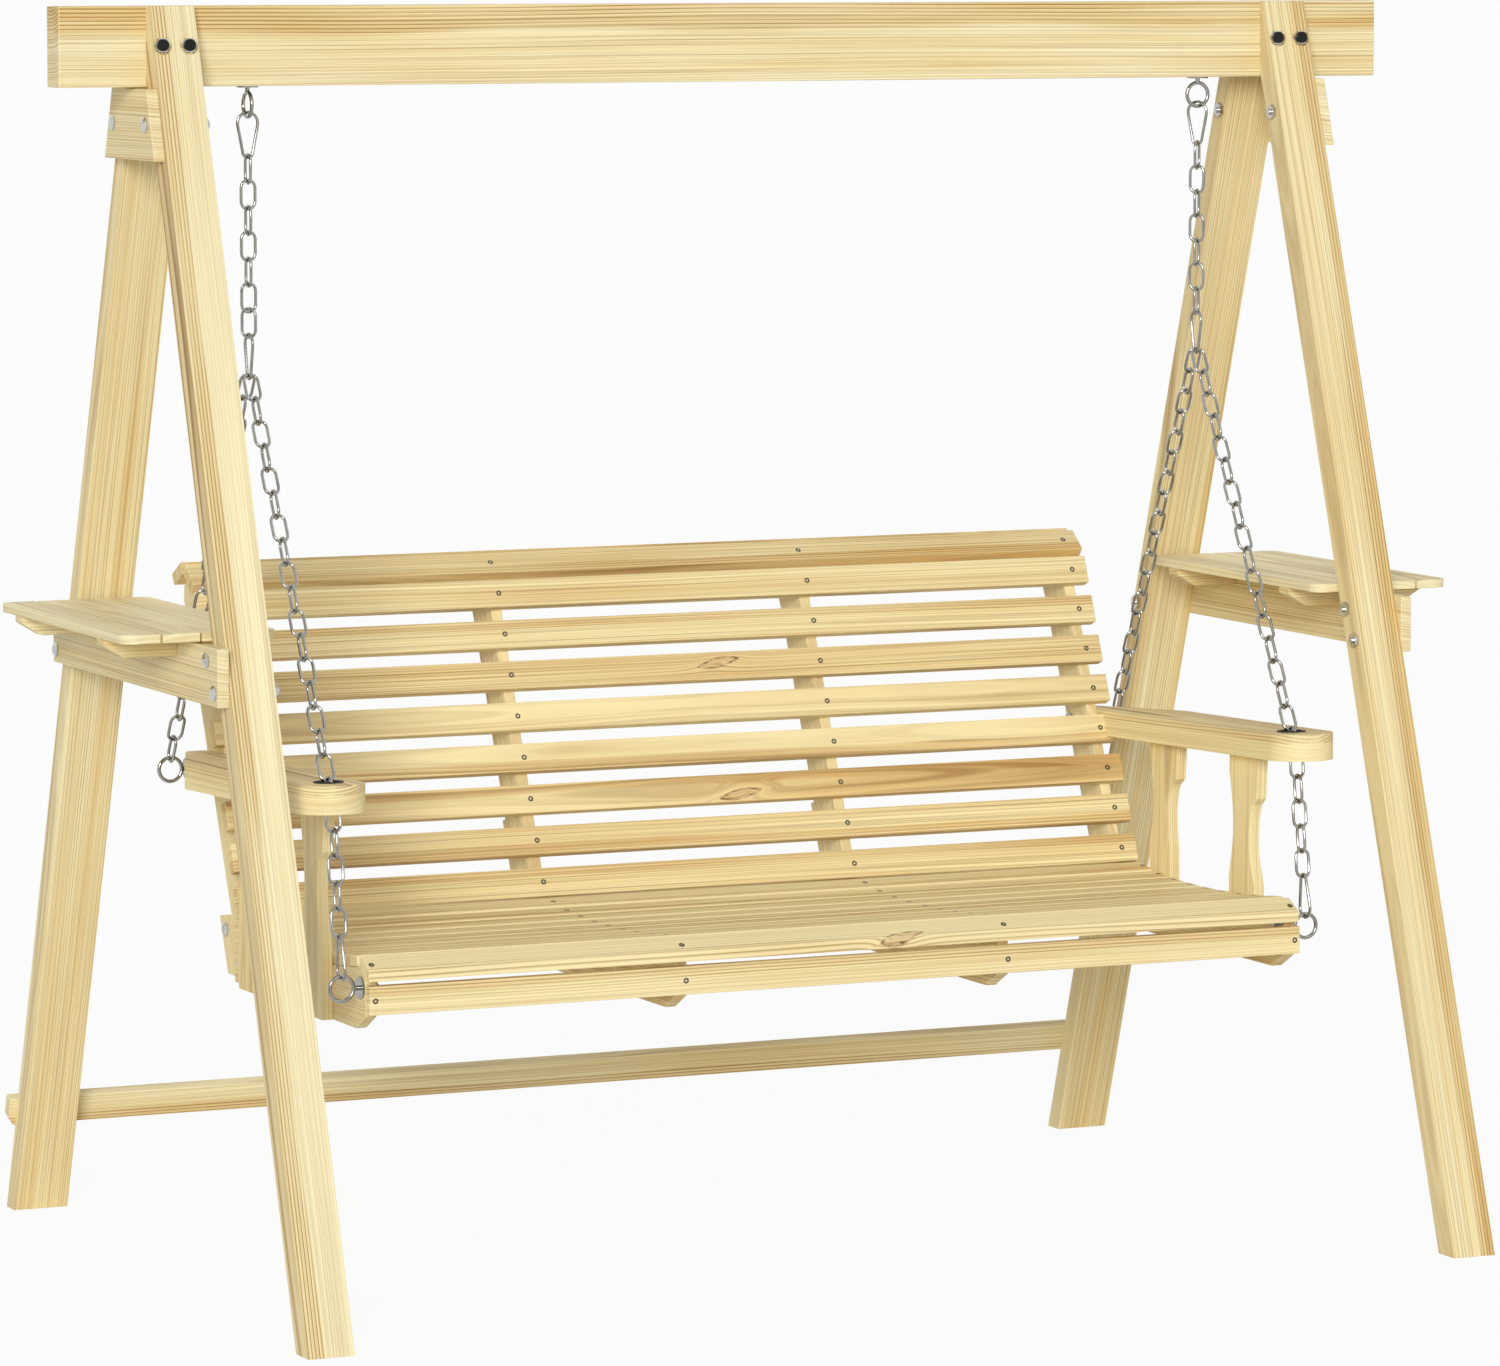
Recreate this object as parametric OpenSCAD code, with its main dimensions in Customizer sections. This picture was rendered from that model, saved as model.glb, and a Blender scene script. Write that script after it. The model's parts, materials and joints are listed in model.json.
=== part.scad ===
// Porch swing: a slatted bench hung on chains from an A-frame stand with a tray at each side.
// Millimetres. X runs along the top beam, the front is -Y and Z = 0 is the ground.
// The origin is on the ground, straight below the middle of the beam.

/* [Stand] */
// Length of the top beam
beam_len = 1850; // [1750:5:2000]
// Height of the top beam
beam_h = 100; // [85:1:120]
// Thickness of the top beam
beam_t = 45; // [38:1:55]
// Height of the stand
stand_h = 1596; // [1560:1:1700]
// Width over the outer faces of the legs
stand_w = 1623; // [1616:1:1700]
// Depth of the stand over its feet
foot_depth = 1120; // [1000:5:1250]
// Depth of the stand over its legs, level with the top of the beam
top_depth = 64; // [60:1:90]
// Width of a front leg
front_leg_w = 60; // [45:1:64]
// Level thickness of a front leg
front_leg_t = 40; // [32:1:46]
// Width of a rear leg
rear_leg_w = 74; // [50:1:80]
// Level thickness of a rear leg
rear_leg_t = 32; // [28:1:40]
// Thickness of the gussets and side rails
side_board_t = 15; // [10:0.5:20]
// Height of a gusset
gusset_h = 88; // [70:1:120]
// Width of a gusset at its top
gusset_top_w = 128; // [110:1:150]
// Width of a gusset at its bottom
gusset_bottom_w = 184; // [165:1:220]
// Gap between a gusset and the beam
gusset_gap = 2; // [1:0.5:10]
// Height of a side rail
rail_h = 72; // [50:1:100]
// How far a side rail stands out past each leg, half way up the rail
rail_over = 6.2; // [2:0.1:20]
// Height of a side rail over the ground
rail_z = 752; // [700:1:800]
// Height of the rear stretcher
stretcher_h = 38; // [30:1:60]
// Thickness of the rear stretcher
stretcher_t = 18; // [12:1:30]
// Height of the stretcher over the ground, along the rear legs
stretcher_z = 115; // [60:1:300]
// How far the stretcher stands out past each leg
stretcher_over = 10; // [0:1:40]
// Chamfer at the lower corners of the stretcher
stretcher_chamfer = 12; // [2:1:20]

/* [Trays] */
// Depth of a tray, front to back
tray_len = 476; // [420:1:482]
// Width of a tray
tray_w = 200; // [160:1:203]
// Outward shift of a tray from the middle of its rail
tray_shift = 3; // [0:0.5:20]
// Number of boards in a tray
tray_boards_n = 4; // [2:1:6]
// Gap between the boards of a tray
tray_gap = 3; // [1:0.5:8]
// Thickness of the tray boards
tray_t = 11; // [8:0.5:20]
// Radius of a tray's four corners
tray_corner = 20; // [5:1:24]
// Height of a tray cleat
cleat_h = 24; // [20:1:40]
// Width of a tray cleat
cleat_w = 25; // [15:1:40]
// Distance from the middle of a tray to the outer face of its front cleat
cleat_front = 163; // [100:1:210]
// Distance from the middle of a tray to the outer face of its rear cleat
cleat_rear = 172; // [100:1:210]
// Height of the square end of a cleat
cleat_end_h = 8; // [5:0.5:15]
// Length of the chamfer below the end of a cleat
cleat_chamfer = 27; // [10:1:40]
// Height of the cleats' upper faces over the rail
cleat_rise = 3; // [1:0.5:8]

/* [Chains] */
// Distance between the two hanging chains
hang_w = 1340; // [1334:1:1352]
// Wire of the eye bolts
eye_wire = 5; // [4:0.1:6]
// Outer diameter of an eye
eye_d = 36; // [33:0.5:42]
// Gap between the beam and the ring of its eye
eye_neck = 5.5; // [4:0.5:12]
// Depth of an eye's shank in the beam
eye_shank = 60; // [40:1:75]
// Wire of the links and hooks
link_wire = 4; // [3.4:0.1:4.6]
// Inner length of a link
link_in = 32.4; // [31.6:0.1:33.2]
// Outer width of a link
link_w = 22.5; // [20:0.5:23.5]
// Outer length of a pear hook
hook_len = 60.5; // [57:0.5:65]
// Outer width of a pear hook at its wide end
hook_w = 31; // [27:0.5:35]
// Outer width of a pear hook at its narrow end
hook_narrow_w = 17.2; // [16.5:0.1:20]
// Clearance where two links cross
link_play = 0.2; // [0.1:0.05:0.4]
// Clearance where two links cross at half a right angle
twist_play = 0.7; // [0.6:0.05:1]
// Clearance where a hook hangs in the eye below the beam
eye_play = 1.5; // [1.4:0.05:1.7]
// Clearance where two twisted links cross in the rear chains
rear_play = 0.8; // [0.4:0.05:1.2]
// Links in a hanging chain
hang_links = 7; // [7:2:9]
// Links in a front chain above its bend in the arm
front_links = 18; // [18:2:18]
// Links in a front chain below its bend
drop_links = 5; // [5:2:5]
// Links in a rear chain
rear_links = 18; // [18:2:18]

/* [Seat] */
// Width of the bench over its slats
bench_w = 1290; // [1270:1:1292]
// Thickness of the bench's boards
board_t = 15; // [12:0.5:17]
// Distance between the two inner frames, middle to middle
inner_w = 447; // [300:1:700]
// Number of seat slats
seat_n = 9; // [8:1:9]
// Width of a seat slat
seat_slat_w = 39.5; // [34:0.5:42]
// Spacing of the seat slats
seat_pitch = 45.2; // [44:0.1:45.6]
// Front edge of the first seat slat, before the beam's middle
seat_front = 298; // [292:1:299]
// Height of the lowest slat over the bottom of the supports
seat_rise = 77.4; // [74:0.1:84]
// Radius of the hollow of the seat
dish_r = 1984; // [1600:10:3000]
// Lowest point of the hollow, before the beam's middle
dish_y = 60; // [20:1:100]
// Where the seat begins to curl up to the back, behind the beam's middle
curl_y = 8; // [0:1:20]
// Extra rise of the seat 100 mm behind that place
curl_rise = 6.3; // [0:0.1:8]
// Front edge of the seat supports, before the beam's middle
nose_y = 326; // [324:1:330]
// Height of the lip slat's lower edge over the bottom of the supports
lip_z = 22; // [15:0.5:30]
// Width of the vertical lip slat
lip_w = 35.5; // [32:0.5:37]
// Gap between the lip slat and the slat above it
lip_gap = 5; // [2:0.5:6]
// Slope of the slat above the lip
lip_slope = 27.5; // [22:0.5:32]
// Width of the sloping slat's upper face
bevel_w = 31; // [26:0.5:33]
// Thickness of the sloping slat
bevel_t = 13; // [10:0.5:14]
// Rear end of the outer supports, behind the beam's middle
support_end = 133; // [120:1:140]
// Height of the stop behind the last slat over the bottom of the supports
stop_h = 82; // [72:1:83]

/* [Back] */
// Lean of the back from upright
back_lean = 22.4; // [16:0.2:26]
// Height of the point where the front edge of the back is measured, over the supports
back_ref_z = 173.7; // [170:0.1:178]
// Front edge of the back at that height, behind the beam's middle
back_ref_y = 160.3; // [158:0.1:170]
// Width of an upright
upright_w = 63; // [50:1:70]
// Number of straight back slats
back_n = 8; // [5:1:8]
// Width of a back slat
back_slat_w = 38; // [32:0.5:42]
// Thickness of a back slat
back_slat_t = 16; // [12:0.5:18]
// Spacing of the back slats
back_pitch = 56.3; // [50:0.1:57]
// Middle of the lowest back slat over the reference height, along the back
back_first = -78; // [-80:0.5:-70]
// Slope of the shoulder slat from upright
shoulder_slope = 52; // [44:1:60]
// Slope of the roll-over slat below level
roll_slope = 29; // [20:1:40]
// Length of the ledge below the roll-over slat
roll_ledge = 42; // [38:0.5:50]
// Height of the square rear edge below that ledge
ledge_drop = 20; // [10:1:40]

// Length of a joint plate at the foot of an upright
plate_len = 136; // [130:1:150]
// Height of a joint plate at the foot of an outer upright
plate_h = 68; // [60:1:72]

/* [Arms] */
// Width of an arm
arm_w = 88; // [80:1:90]
// Thickness of an arm
arm_t = 35; // [28:0.5:38]
// Height of the arm's upper face over the bend of the front chain
arm_over_bend = 22.9; // [18:0.5:26]
// Front end of an arm, before the beam's middle
arm_front = 326; // [318:1:335]
// Where the outer edge of an arm begins to taper, behind the beam's middle
arm_taper_y = 115; // [60:1:160]
// Rear end of an arm, behind the beam's middle
arm_rear = 268; // [262:1:274]
// Width of an arm at its rear end
arm_tail_w = 34; // [28:1:40]
// Front post, its front edge before the beam's middle
front_post_y = 226; // [215:1:240]
// Rear post, its front edge before the beam's middle
rear_post_y = 1; // [-10:1:20]
// Width of a post
post_w = 80; // [60:1:90]
// Taper of the block at the top of a post
post_taper = 4.5; // [0:0.5:8]
// Depth of the scoop at the front of the front post
scoop_front = 24; // [14:1:30]
// Depth of the scoop at the front of the rear post
rear_scoop_front = 27; // [22:1:32]
// Depth of the scoop at the rear of a post
scoop_rear = 11; // [3:1:14]
// How far the foot of the front post stands back from its head
post_step = 9.5; // [4:0.5:14]
// How far the foot of the rear post stands back from its head
rear_post_step = 21; // [4:0.5:22]
// Height of the block at the top of the front post
post_head = 56; // [30:1:70]
// Height of the block at the top of the rear post
rear_post_head = 47; // [30:1:70]
// Height of the block at the foot of the front post
post_foot = 95; // [80:1:110]
// Height of the block at the foot of the rear post
rear_post_foot = 110; // [90:1:120]
// Outer diameter of a grommet
grommet_d = 37.5; // [36:0.5:42]
// Bore of a grommet
grommet_bore = 29; // [28.5:0.5:30]
// Thickness of a grommet's rim
grommet_rim = 1.6; // [1:0.1:3]
// Lean of the chain hole through the arm
hole_lean = 24; // [20:1:27]
// Where the front chain bends in the arm, before the beam's middle
bend_y = 281.6; // [279:0.2:284]
// Front eye bolt, before the beam's middle
ring_front_y = 310; // [306:1:312]
// Front eye bolt over the bottom of the supports
ring_front_z = 52.7; // [46:0.5:58]
// Rear eye bolt, behind the beam's middle
ring_rear_y = 256; // [250:1:258]
// Outward shift of the rear eye bolt from the chain's plane
ring_rear_x = 16; // [10:0.5:20]
// Clearance round a back slat's end in the arm's notch
notch_gap = 0.5; // [0.2:0.1:2]
// Rear eye bolt below the middle of the arm
ring_rear_drop = 4; // [0:0.5:6]

/* [Fasteners] */
// Diameter of the bolts
bolt_d = 8; // [6:0.5:10]
// Clearance of a bolt in its hole
bolt_gap = 0.4; // [0.2:0.1:1]
// Width across the flats of a bolt head
head_af = 17; // [14:0.5:19]
// Height of a bolt head
head_h = 5.3; // [4:0.1:8]
// Diameter of a round bolt head
dome_d = 19; // [15:0.5:22]
// Diameter of a bolt cap
cap_d = 15; // [12:0.5:17]
// Height of a bolt cap
cap_h = 3; // [1:0.5:6]
// Distance between the two beam bolts of a leg
beam_bolt_gap = 35; // [26:1:40]
// Depth to which the leg is faced below a beam bolt's head
spot_depth = 3.6; // [3.5:0.1:6]
// Diameter of the facing below a beam bolt's head
spot_d = 24; // [22:0.5:28]
// Diameter of an eye bolt's shank
shank_d = 6; // [5:0.5:8]
// Diameter of a washer
washer_d = 28; // [18:0.5:30]
// Thickness of a washer
washer_t = 2; // [1:0.1:3]
// Distance of a rail bolt from the edge of its rail
rail_bolt_in = 17; // [14:0.5:22]

/* [Hidden] */
$fn = 48;

pine = "#ecd193";
pine_end = "#d9b87a";
steel = "#b9bcc0";
black = "#1c1c1e";

// Stand
leg_out = stand_w / 2;
half_foot = foot_depth / 2;
half_top = top_depth / 2;
leg_slope = (half_foot - half_top) / stand_h;
leg_lean = atan(leg_slope);
beam_z = stand_h - beam_h;
beam_mid_z = stand_h - beam_h / 2 + 2;
rail_mid_x = leg_out + side_board_t / 2;
rail_top = rail_z + rail_h;
rail_len = 2 * (half_foot - leg_slope * (rail_z + rail_h / 2) + rail_over);
gusset_top = beam_z - gusset_gap;
gusset_bolt_z = gusset_top - gusset_h / 2;
tray_x = rail_mid_x + tray_shift;
tray_board_w = (tray_w - (tray_boards_n - 1) * tray_gap) / tray_boards_n;
cleat_top = rail_top + cleat_rise;

// Outer face of the legs, as a distance from the middle, at a height
function leg_face(z) = half_foot - leg_slope * z;

// Hanging gear. Every height is the middle of a wire.
hang_x = hang_w / 2;
eye_r = (eye_d - eye_wire) / 2;
link_r = (link_w - link_wire) / 2;
hook_r = (hook_w - link_wire) / 2;
hook_narrow_r = (hook_narrow_w - link_wire) / 2;
hook_reach = hook_len - link_wire;
hook_span = hook_reach - hook_r - hook_narrow_r;
hook_lap = 0.7;
pitch = link_in - link_play;
eye_mid_z = beam_z - eye_neck - eye_d / 2;
eye_low_z = eye_mid_z - eye_r;
hook_top_z = eye_low_z + (eye_wire + link_wire) / 2 + eye_play;
hook_low_z = hook_top_z - hook_reach;
first_link_z = hook_low_z + link_wire + link_play;
lower_hook_z = first_link_z - hang_links * pitch + 2 * (twist_play - link_play);
swing_z = eye_low_z + (eye_wire + link_wire) / 4 + eye_play / 2;
tilt_z = lower_hook_z - hook_reach + hook_narrow_r;

// The two lower chains start side by side in the lower hook.
start_y = (link_wire + link_play) / 2 + 0.05;
start_drop = 1;
start_z = tilt_z - start_drop;

// Front chain: from the hook to its bend in the arm, then down to the front eye bolt
front_len = front_links * pitch;
front_angle = asin((bend_y - start_y) / front_len);
bend_z = start_z - front_len * cos(front_angle);
drop_len = drop_links * pitch + hook_reach;
ring_grip = (eye_wire + link_wire) / 2 + link_play;
drop_reach = drop_len - ring_grip;
drop_angle = asin((ring_front_y - bend_y) / drop_reach);
ring_front_top = bend_z - drop_reach * cos(drop_angle);
ring_front_mid = ring_front_top - eye_r;

// Rear chain: from the hook to the rear eye bolt
rear_pitch = link_in - rear_play;
rear_reach = (rear_links - 1) * rear_pitch + link_in + link_wire - ring_grip;
rear_angle = asin((ring_rear_y - start_y) / rear_reach);
rear_side = asin(ring_rear_x / (rear_reach * cos(rear_angle)));
ring_rear_mid = start_z - rear_reach * cos(rear_angle) * cos(rear_side) - eye_r;

// Bench
seat_z = ring_front_mid - ring_front_z;
frame_x = bench_w / 2;
upright_x = frame_x - 2 * board_t;
inner_x = inner_w / 2 - board_t / 2;
dish_z = seat_z + seat_rise;
lip_top = seat_z + lip_z + lip_w;
back_z = seat_z + back_ref_z;

// Upper face of the arm: a plane through its height at the chain and at the rear eye bolt
arm_front_z = bend_z + arm_over_bend;
arm_rear_z = ring_rear_mid + ring_rear_drop + arm_t / 2;
grommet_y = bend_y - arm_over_bend * tan(front_angle);
arm_slope = (arm_rear_z - arm_front_z) / (grommet_y + ring_rear_y);
arm_tilt = atan(arm_slope);
arm_in = frame_x - board_t;
arm_out = arm_in + arm_w;
function arm_top(y) = arm_front_z + arm_slope * (y + grommet_y);
function arm_under(y) = arm_top(y) - arm_t / cos(arm_tilt);

// Middle of a seat slat's upper face, its slope, and a point on its lower face
function slat_y(i) = -seat_front + seat_slat_w / 2 + i * seat_pitch;
function past_curl(y) = max(0, y - curl_y) / 100;
function dish(y) = dish_z + dish_r - sqrt(dish_r * dish_r - (y + dish_y) * (y + dish_y))
    + curl_rise * pow(past_curl(y), 2);
function slat_tilt(i) = asin((slat_y(i) + dish_y) / dish_r)
    + atan(curl_rise * past_curl(slat_y(i)) / 50);
function slat_low(i, s) = [
    slat_y(i) + s * cos(slat_tilt(i)) + board_t * sin(slat_tilt(i)),
    dish(slat_y(i)) + s * sin(slat_tilt(i)) - board_t * cos(slat_tilt(i))
];

// Front edge of the back at a height, and a point along it with a depth behind it
function back_edge(z) = back_ref_y + (z - back_z) * tan(back_lean);
function on_back(along, deep) = [
    back_ref_y + along * sin(back_lean) + deep * cos(back_lean),
    back_z + along * cos(back_lean) - deep * sin(back_lean)
];

// Points of the rear frames' feet and heads, over the bottom of the supports
back_top = (back_n - 1) * back_pitch + back_first + back_slat_w / 2;
shoulder_low = on_back(back_top + 3, 0);
shoulder_top = shoulder_low + back_slat_w * [sin(shoulder_slope), cos(shoulder_slope)];
ledge = shoulder_top + roll_ledge * [cos(roll_slope), -sin(roll_slope)];

module on_sides() {
    children();
    mirror([1, 0, 0]) children();
}

module on_left() mirror([1, 0, 0]) children();

// Extrudes a front-to-back profile along +X
module board(x, t) translate([x, 0, 0]) rotate([90, 0, 90]) linear_extrude(t) children();

module x_hole(y, z, d, x0, x1) {
    translate([x0, y, z]) rotate([0, 90, 0]) cylinder(d = d, h = x1 - x0);
}

module y_hole(x, z, d, y0, y1) {
    translate([x, y0, z]) rotate([-90, 0, 0]) cylinder(d = d, h = y1 - y0);
}

hole_d = bolt_d + bolt_gap;
rail_bolt_spots = [
    [-(leg_face(rail_top) - front_leg_t / 2), rail_top - rail_bolt_in],
    [-(leg_face(rail_z) - front_leg_t / 2) - 1, rail_z + rail_bolt_in],
    [leg_face(rail_z) - rear_leg_t / 2 - 1, rail_z + rail_bolt_in]
];

// ---- Stand ----

module leg_profile(t) {
    half = beam_t / 2;
    polygon([
        [half_foot, 0],
        [half_top, stand_h],
        [half, stand_h],
        [half, (half_foot - t - half) / leg_slope],
        [half_foot - t, 0]
    ]);
}

function beam_bolt_x(i) = leg_out - 30 + (i - 0.5) * beam_bolt_gap;

// Holes and faced seats for the beam bolts, on the front side
module beam_bolt_cuts() {
    seat = leg_face(beam_mid_z) - spot_depth;
    for (i = [0, 1]) {
        y_hole(beam_bolt_x(i), beam_mid_z, hole_d, -half_foot, half_foot);
        y_hole(beam_bolt_x(i), beam_mid_z, spot_d, -half_foot, -seat);
        y_hole(beam_bolt_x(i), beam_mid_z, spot_d, seat, half_foot);
    }
}

module gusset_cuts() {
    for (s = [-1, 1])
        x_hole(s * gusset_bolt_y, gusset_bolt_z, hole_d, 0, leg_out + 2 * side_board_t);
}

module rail_cuts() {
    for (p = rail_bolt_spots)
        x_hole(p[0], p[1], hole_d, 0, leg_out + 2 * side_board_t);
}

gusset_bolt_y = leg_face(gusset_bolt_z) - front_leg_t / 2;

module front_leg() {
    difference() {
        mirror([0, 1, 0]) board(leg_out - front_leg_w, front_leg_w) leg_profile(front_leg_t);
        beam_bolt_cuts();
        gusset_cuts();
        rail_cuts();
    }
}

module rear_leg() {
    difference() {
        board(leg_out - rear_leg_w, rear_leg_w) leg_profile(rear_leg_t);
        beam_bolt_cuts();
        gusset_cuts();
        rail_cuts();
    }
}

module front_right_leg() color(pine) front_leg();
module front_left_leg() color(pine) on_left() front_leg();
module rear_right_leg() color(pine) rear_leg();
module rear_left_leg() color(pine) on_left() rear_leg();

module top_beam() {
    color(pine) difference() {
        translate([-beam_len / 2, -beam_t / 2, beam_z]) cube([beam_len, beam_t, beam_h]);
        on_sides() {
            for (i = [0, 1])
                y_hole(beam_bolt_x(i), beam_mid_z, hole_d, -beam_t, beam_t);
            translate([hang_x, 0, beam_z]) cylinder(d = shank_d + bolt_gap, h = eye_shank + 1);
        }
    }
}

module gusset() {
    difference() {
        board(leg_out, side_board_t)
            polygon([
                [-gusset_top_w / 2, gusset_top],
                [-gusset_bottom_w / 2, gusset_top - gusset_h],
                [gusset_bottom_w / 2, gusset_top - gusset_h],
                [gusset_top_w / 2, gusset_top]
            ]);
        gusset_cuts();
    }
}

module right_gusset() color(pine) gusset();
module left_gusset() color(pine) on_left() gusset();

module side_rail() {
    difference() {
        translate([leg_out, -rail_len / 2, rail_z]) cube([side_board_t, rail_len, rail_h]);
        rail_cuts();
    }
}

module right_side_rail() color(pine) side_rail();
module left_side_rail() color(pine) on_left() side_rail();

// Rounds the tray's corners over its whole outline, so only its outer boards lose wood.
module tray_corner_cuts() {
    r = min(tray_corner, tray_board_w / 2);
    for (x = [0, 1], y = [0, 1]) translate([tray_x, 0, cleat_top - 1])
        mirror([x, 0, 0]) mirror([0, y, 0])
            translate([tray_w / 2 - r, tray_len / 2 - r, 0]) difference() {
                cube([r + 1, r + 1, tray_t + 2]);
                translate([0, 0, -1]) cylinder(r = r, h = tray_t + 4);
            }
}

module tray_boards() {
    for (i = [0:tray_boards_n - 1]) difference() {
        translate([tray_x - tray_w / 2 + i * (tray_board_w + tray_gap), -tray_len / 2, cleat_top])
            cube([tray_board_w, tray_len, tray_t]);
        tray_corner_cuts();
    }
}

module right_tray_boards() color(pine) tray_boards();
module left_tray_boards() color(pine) on_left() tray_boards();

// A cleat runs across below the boards and drops over the rail with its notch.
module cleat() {
    half = tray_w / 2;
    low = cleat_top - cleat_h;
    difference() {
        rotate([90, 0, 0])
            linear_extrude(cleat_w)
                polygon([
                    [tray_x - half, cleat_top],
                    [tray_x - half, cleat_top - cleat_end_h],
                    [tray_x - half + cleat_chamfer, low],
                    [tray_x + half - cleat_chamfer, low],
                    [tray_x + half, cleat_top - cleat_end_h],
                    [tray_x + half, cleat_top]
                ]);
        translate([leg_out, -cleat_w - 1, rail_z]) cube([side_board_t, cleat_w + 2, rail_h]);
    }
}

module tray_cleats() {
    translate([0, cleat_w - cleat_front, 0]) cleat();
    translate([0, cleat_rear, 0]) cleat();
}

module right_tray_cleats() color(pine) tray_cleats();
module left_tray_cleats() color(pine) on_left() tray_cleats();

module rear_stretcher() {
    half = leg_out + stretcher_over;
    color(pine)
        translate([0, leg_face(stretcher_z), stretcher_z])
            rotate([90 + leg_lean, 0, 0])
                translate([0, 0, -stretcher_t])
                    linear_extrude(stretcher_t)
                        polygon([
                            [-half + stretcher_chamfer * 0.6, 0],
                            [half - stretcher_chamfer * 0.6, 0],
                            [half, stretcher_chamfer],
                            [half, stretcher_h],
                            [-half, stretcher_h],
                            [-half, stretcher_chamfer]
                        ]);
}

// ---- Fasteners of the stand ----

// A hexagon bolt along +Z from under its head, with the nut run up at the far end
module hex_bolt(grip) {
    translate([0, 0, -head_h]) cylinder(d = head_af / cos(30), h = head_h, $fn = 6);
    cylinder(d = bolt_d, h = grip + head_h + 3);
    translate([0, 0, grip]) cylinder(d = head_af / cos(30), h = head_h, $fn = 6);
}

// A round-headed bolt along +Z from under its head, with its nut
module round_bolt(grip) {
    translate([0, 0, -head_h * 0.35]) cylinder(d = dome_d, h = head_h * 0.35);
    translate([0, 0, -head_h * 0.35]) mirror([0, 0, 1]) intersection() {
        translate([0, 0, dome_rise - dome_r]) sphere(r = dome_r);
        cylinder(d = dome_d, h = dome_rise);
    }
    cylinder(d = bolt_d, h = grip + head_h + 3);
    translate([0, 0, grip]) cylinder(d = head_af / cos(30), h = head_h, $fn = 6);
}

dome_rise = head_h * 0.65;
dome_r = (dome_d * dome_d / 4 + dome_rise * dome_rise) / (2 * dome_rise);

module beam_bolts() {
    seat = leg_face(beam_mid_z) - spot_depth;
    color(steel) on_sides() for (i = [0, 1])
        translate([beam_bolt_x(i), -seat, beam_mid_z]) rotate([-90, 0, 0]) hex_bolt(2 * seat);
}

module beam_bolt_caps() {
    seat = leg_face(beam_mid_z) - spot_depth;
    color(black) on_sides() for (i = [0, 1])
        translate([beam_bolt_x(i), -seat - head_h, beam_mid_z]) rotate([90, 0, 0])
            cylinder(d = cap_d, h = cap_h);
}

module gusset_bolts() {
    color(steel) on_sides() {
        translate([leg_out + side_board_t, -gusset_bolt_y, gusset_bolt_z]) rotate([0, -90, 0])
            round_bolt(side_board_t + front_leg_w);
        translate([leg_out + side_board_t, gusset_bolt_y, gusset_bolt_z]) rotate([0, -90, 0])
            round_bolt(side_board_t + rear_leg_w);
    }
}

module rail_bolts() {
    color(steel) on_sides() for (p = rail_bolt_spots)
        translate([leg_out + side_board_t, p[0], p[1]]) rotate([0, -90, 0])
            round_bolt(side_board_t + (p[0] < 0 ? front_leg_w : rear_leg_w));
}

// ---- Chains ----

// An eye in the XZ plane about the origin
module eye_ring() rotate([90, 0, 0]) rotate_extrude() translate([eye_r, 0]) circle(d = eye_wire);

module beam_eye(turn) {
    translate([hang_x, 0, eye_mid_z]) {
        rotate([0, 0, turn]) eye_ring();
        translate([0, 0, eye_r]) cylinder(d = shank_d, h = eye_neck + eye_wire / 2 + eye_shank);
    }
    translate([hang_x, 0, beam_z - washer_t]) difference() {
        cylinder(d = washer_d, h = washer_t);
        translate([0, 0, -1]) cylinder(d = shank_d - 0.5, h = washer_t + 2);
    }
}

module beam_eyes() {
    color(steel) {
        beam_eye(0);
        on_left() beam_eye(90);
    }
}

// Half a ring of wire, open downward, in the XZ plane
module wire_arc(r, from, sweep) {
    rotate([90, 0, 0]) rotate([0, 0, from])
        rotate_extrude(angle = sweep) translate([r, 0]) circle(d = link_wire, $fn = 24);
}

// A link in the XZ plane, hanging down from the middle of its top wire
module link() {
    straight = link_in + link_wire - 2 * link_r;
    translate([0, 0, -link_r]) {
        wire_arc(link_r, 0, 180);
        translate([0, 0, -straight]) wire_arc(link_r, 180, 180);
        for (s = [-1, 1])
            translate([s * link_r, 0, -straight])
                cylinder(d = link_wire, h = straight, $fn = 24);
    }
}

// A pear hook in the XZ plane, wide end up, hanging down from the middle of its top wire
module pear_hook() {
    a = asin((hook_r - hook_narrow_r) / hook_span);
    side = hook_span * cos(a);
    translate([0, 0, -hook_r]) {
        wire_arc(hook_r, -a, 180 + 2 * a);
        translate([0, 0, -hook_span]) wire_arc(hook_narrow_r, 180 + a, 180 - 2 * a);
        // The sides are a hair thinner than the bends and run a little way into them.
        for (s = [-1, 1])
            translate([s * hook_r * cos(a), 0, -hook_r * sin(a)]) rotate([0, s * a, 0])
                translate([0, 0, -side - hook_lap])
                    cylinder(d = link_wire - 0.2, h = side + 2 * hook_lap, $fn = 24);
    }
}

// A row of links hanging down, each turned a right angle from the last
module chain(n, step, turn) {
    for (i = [0:n - 1])
        translate([0, 0, -i * step]) rotate([0, 0, turn + 90 * i]) link();
}

module upper_hooks() {
    color(steel) {
        translate([hang_x, 0, hook_top_z]) rotate([0, 0, -53]) pear_hook();
        on_left() translate([hang_x, 0, hook_top_z]) pear_hook();
    }
}

module hanging_chains() {
    last = hang_links - 1;
    color(steel) {
        translate([hang_x, 0, first_link_z]) chain(hang_links, pitch, 45);
        on_left() {
            translate([hang_x, 0, first_link_z]) chain(last, pitch, 90);
            translate([hang_x, 0, first_link_z - last * pitch + twist_play - link_play])
                rotate([0, 0, 45]) link();
        }
    }
}

module lower_hooks() {
    color(steel) on_sides()
        translate([hang_x, 0, lower_hook_z]) rotate([0, 0, 90]) pear_hook();
}

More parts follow.
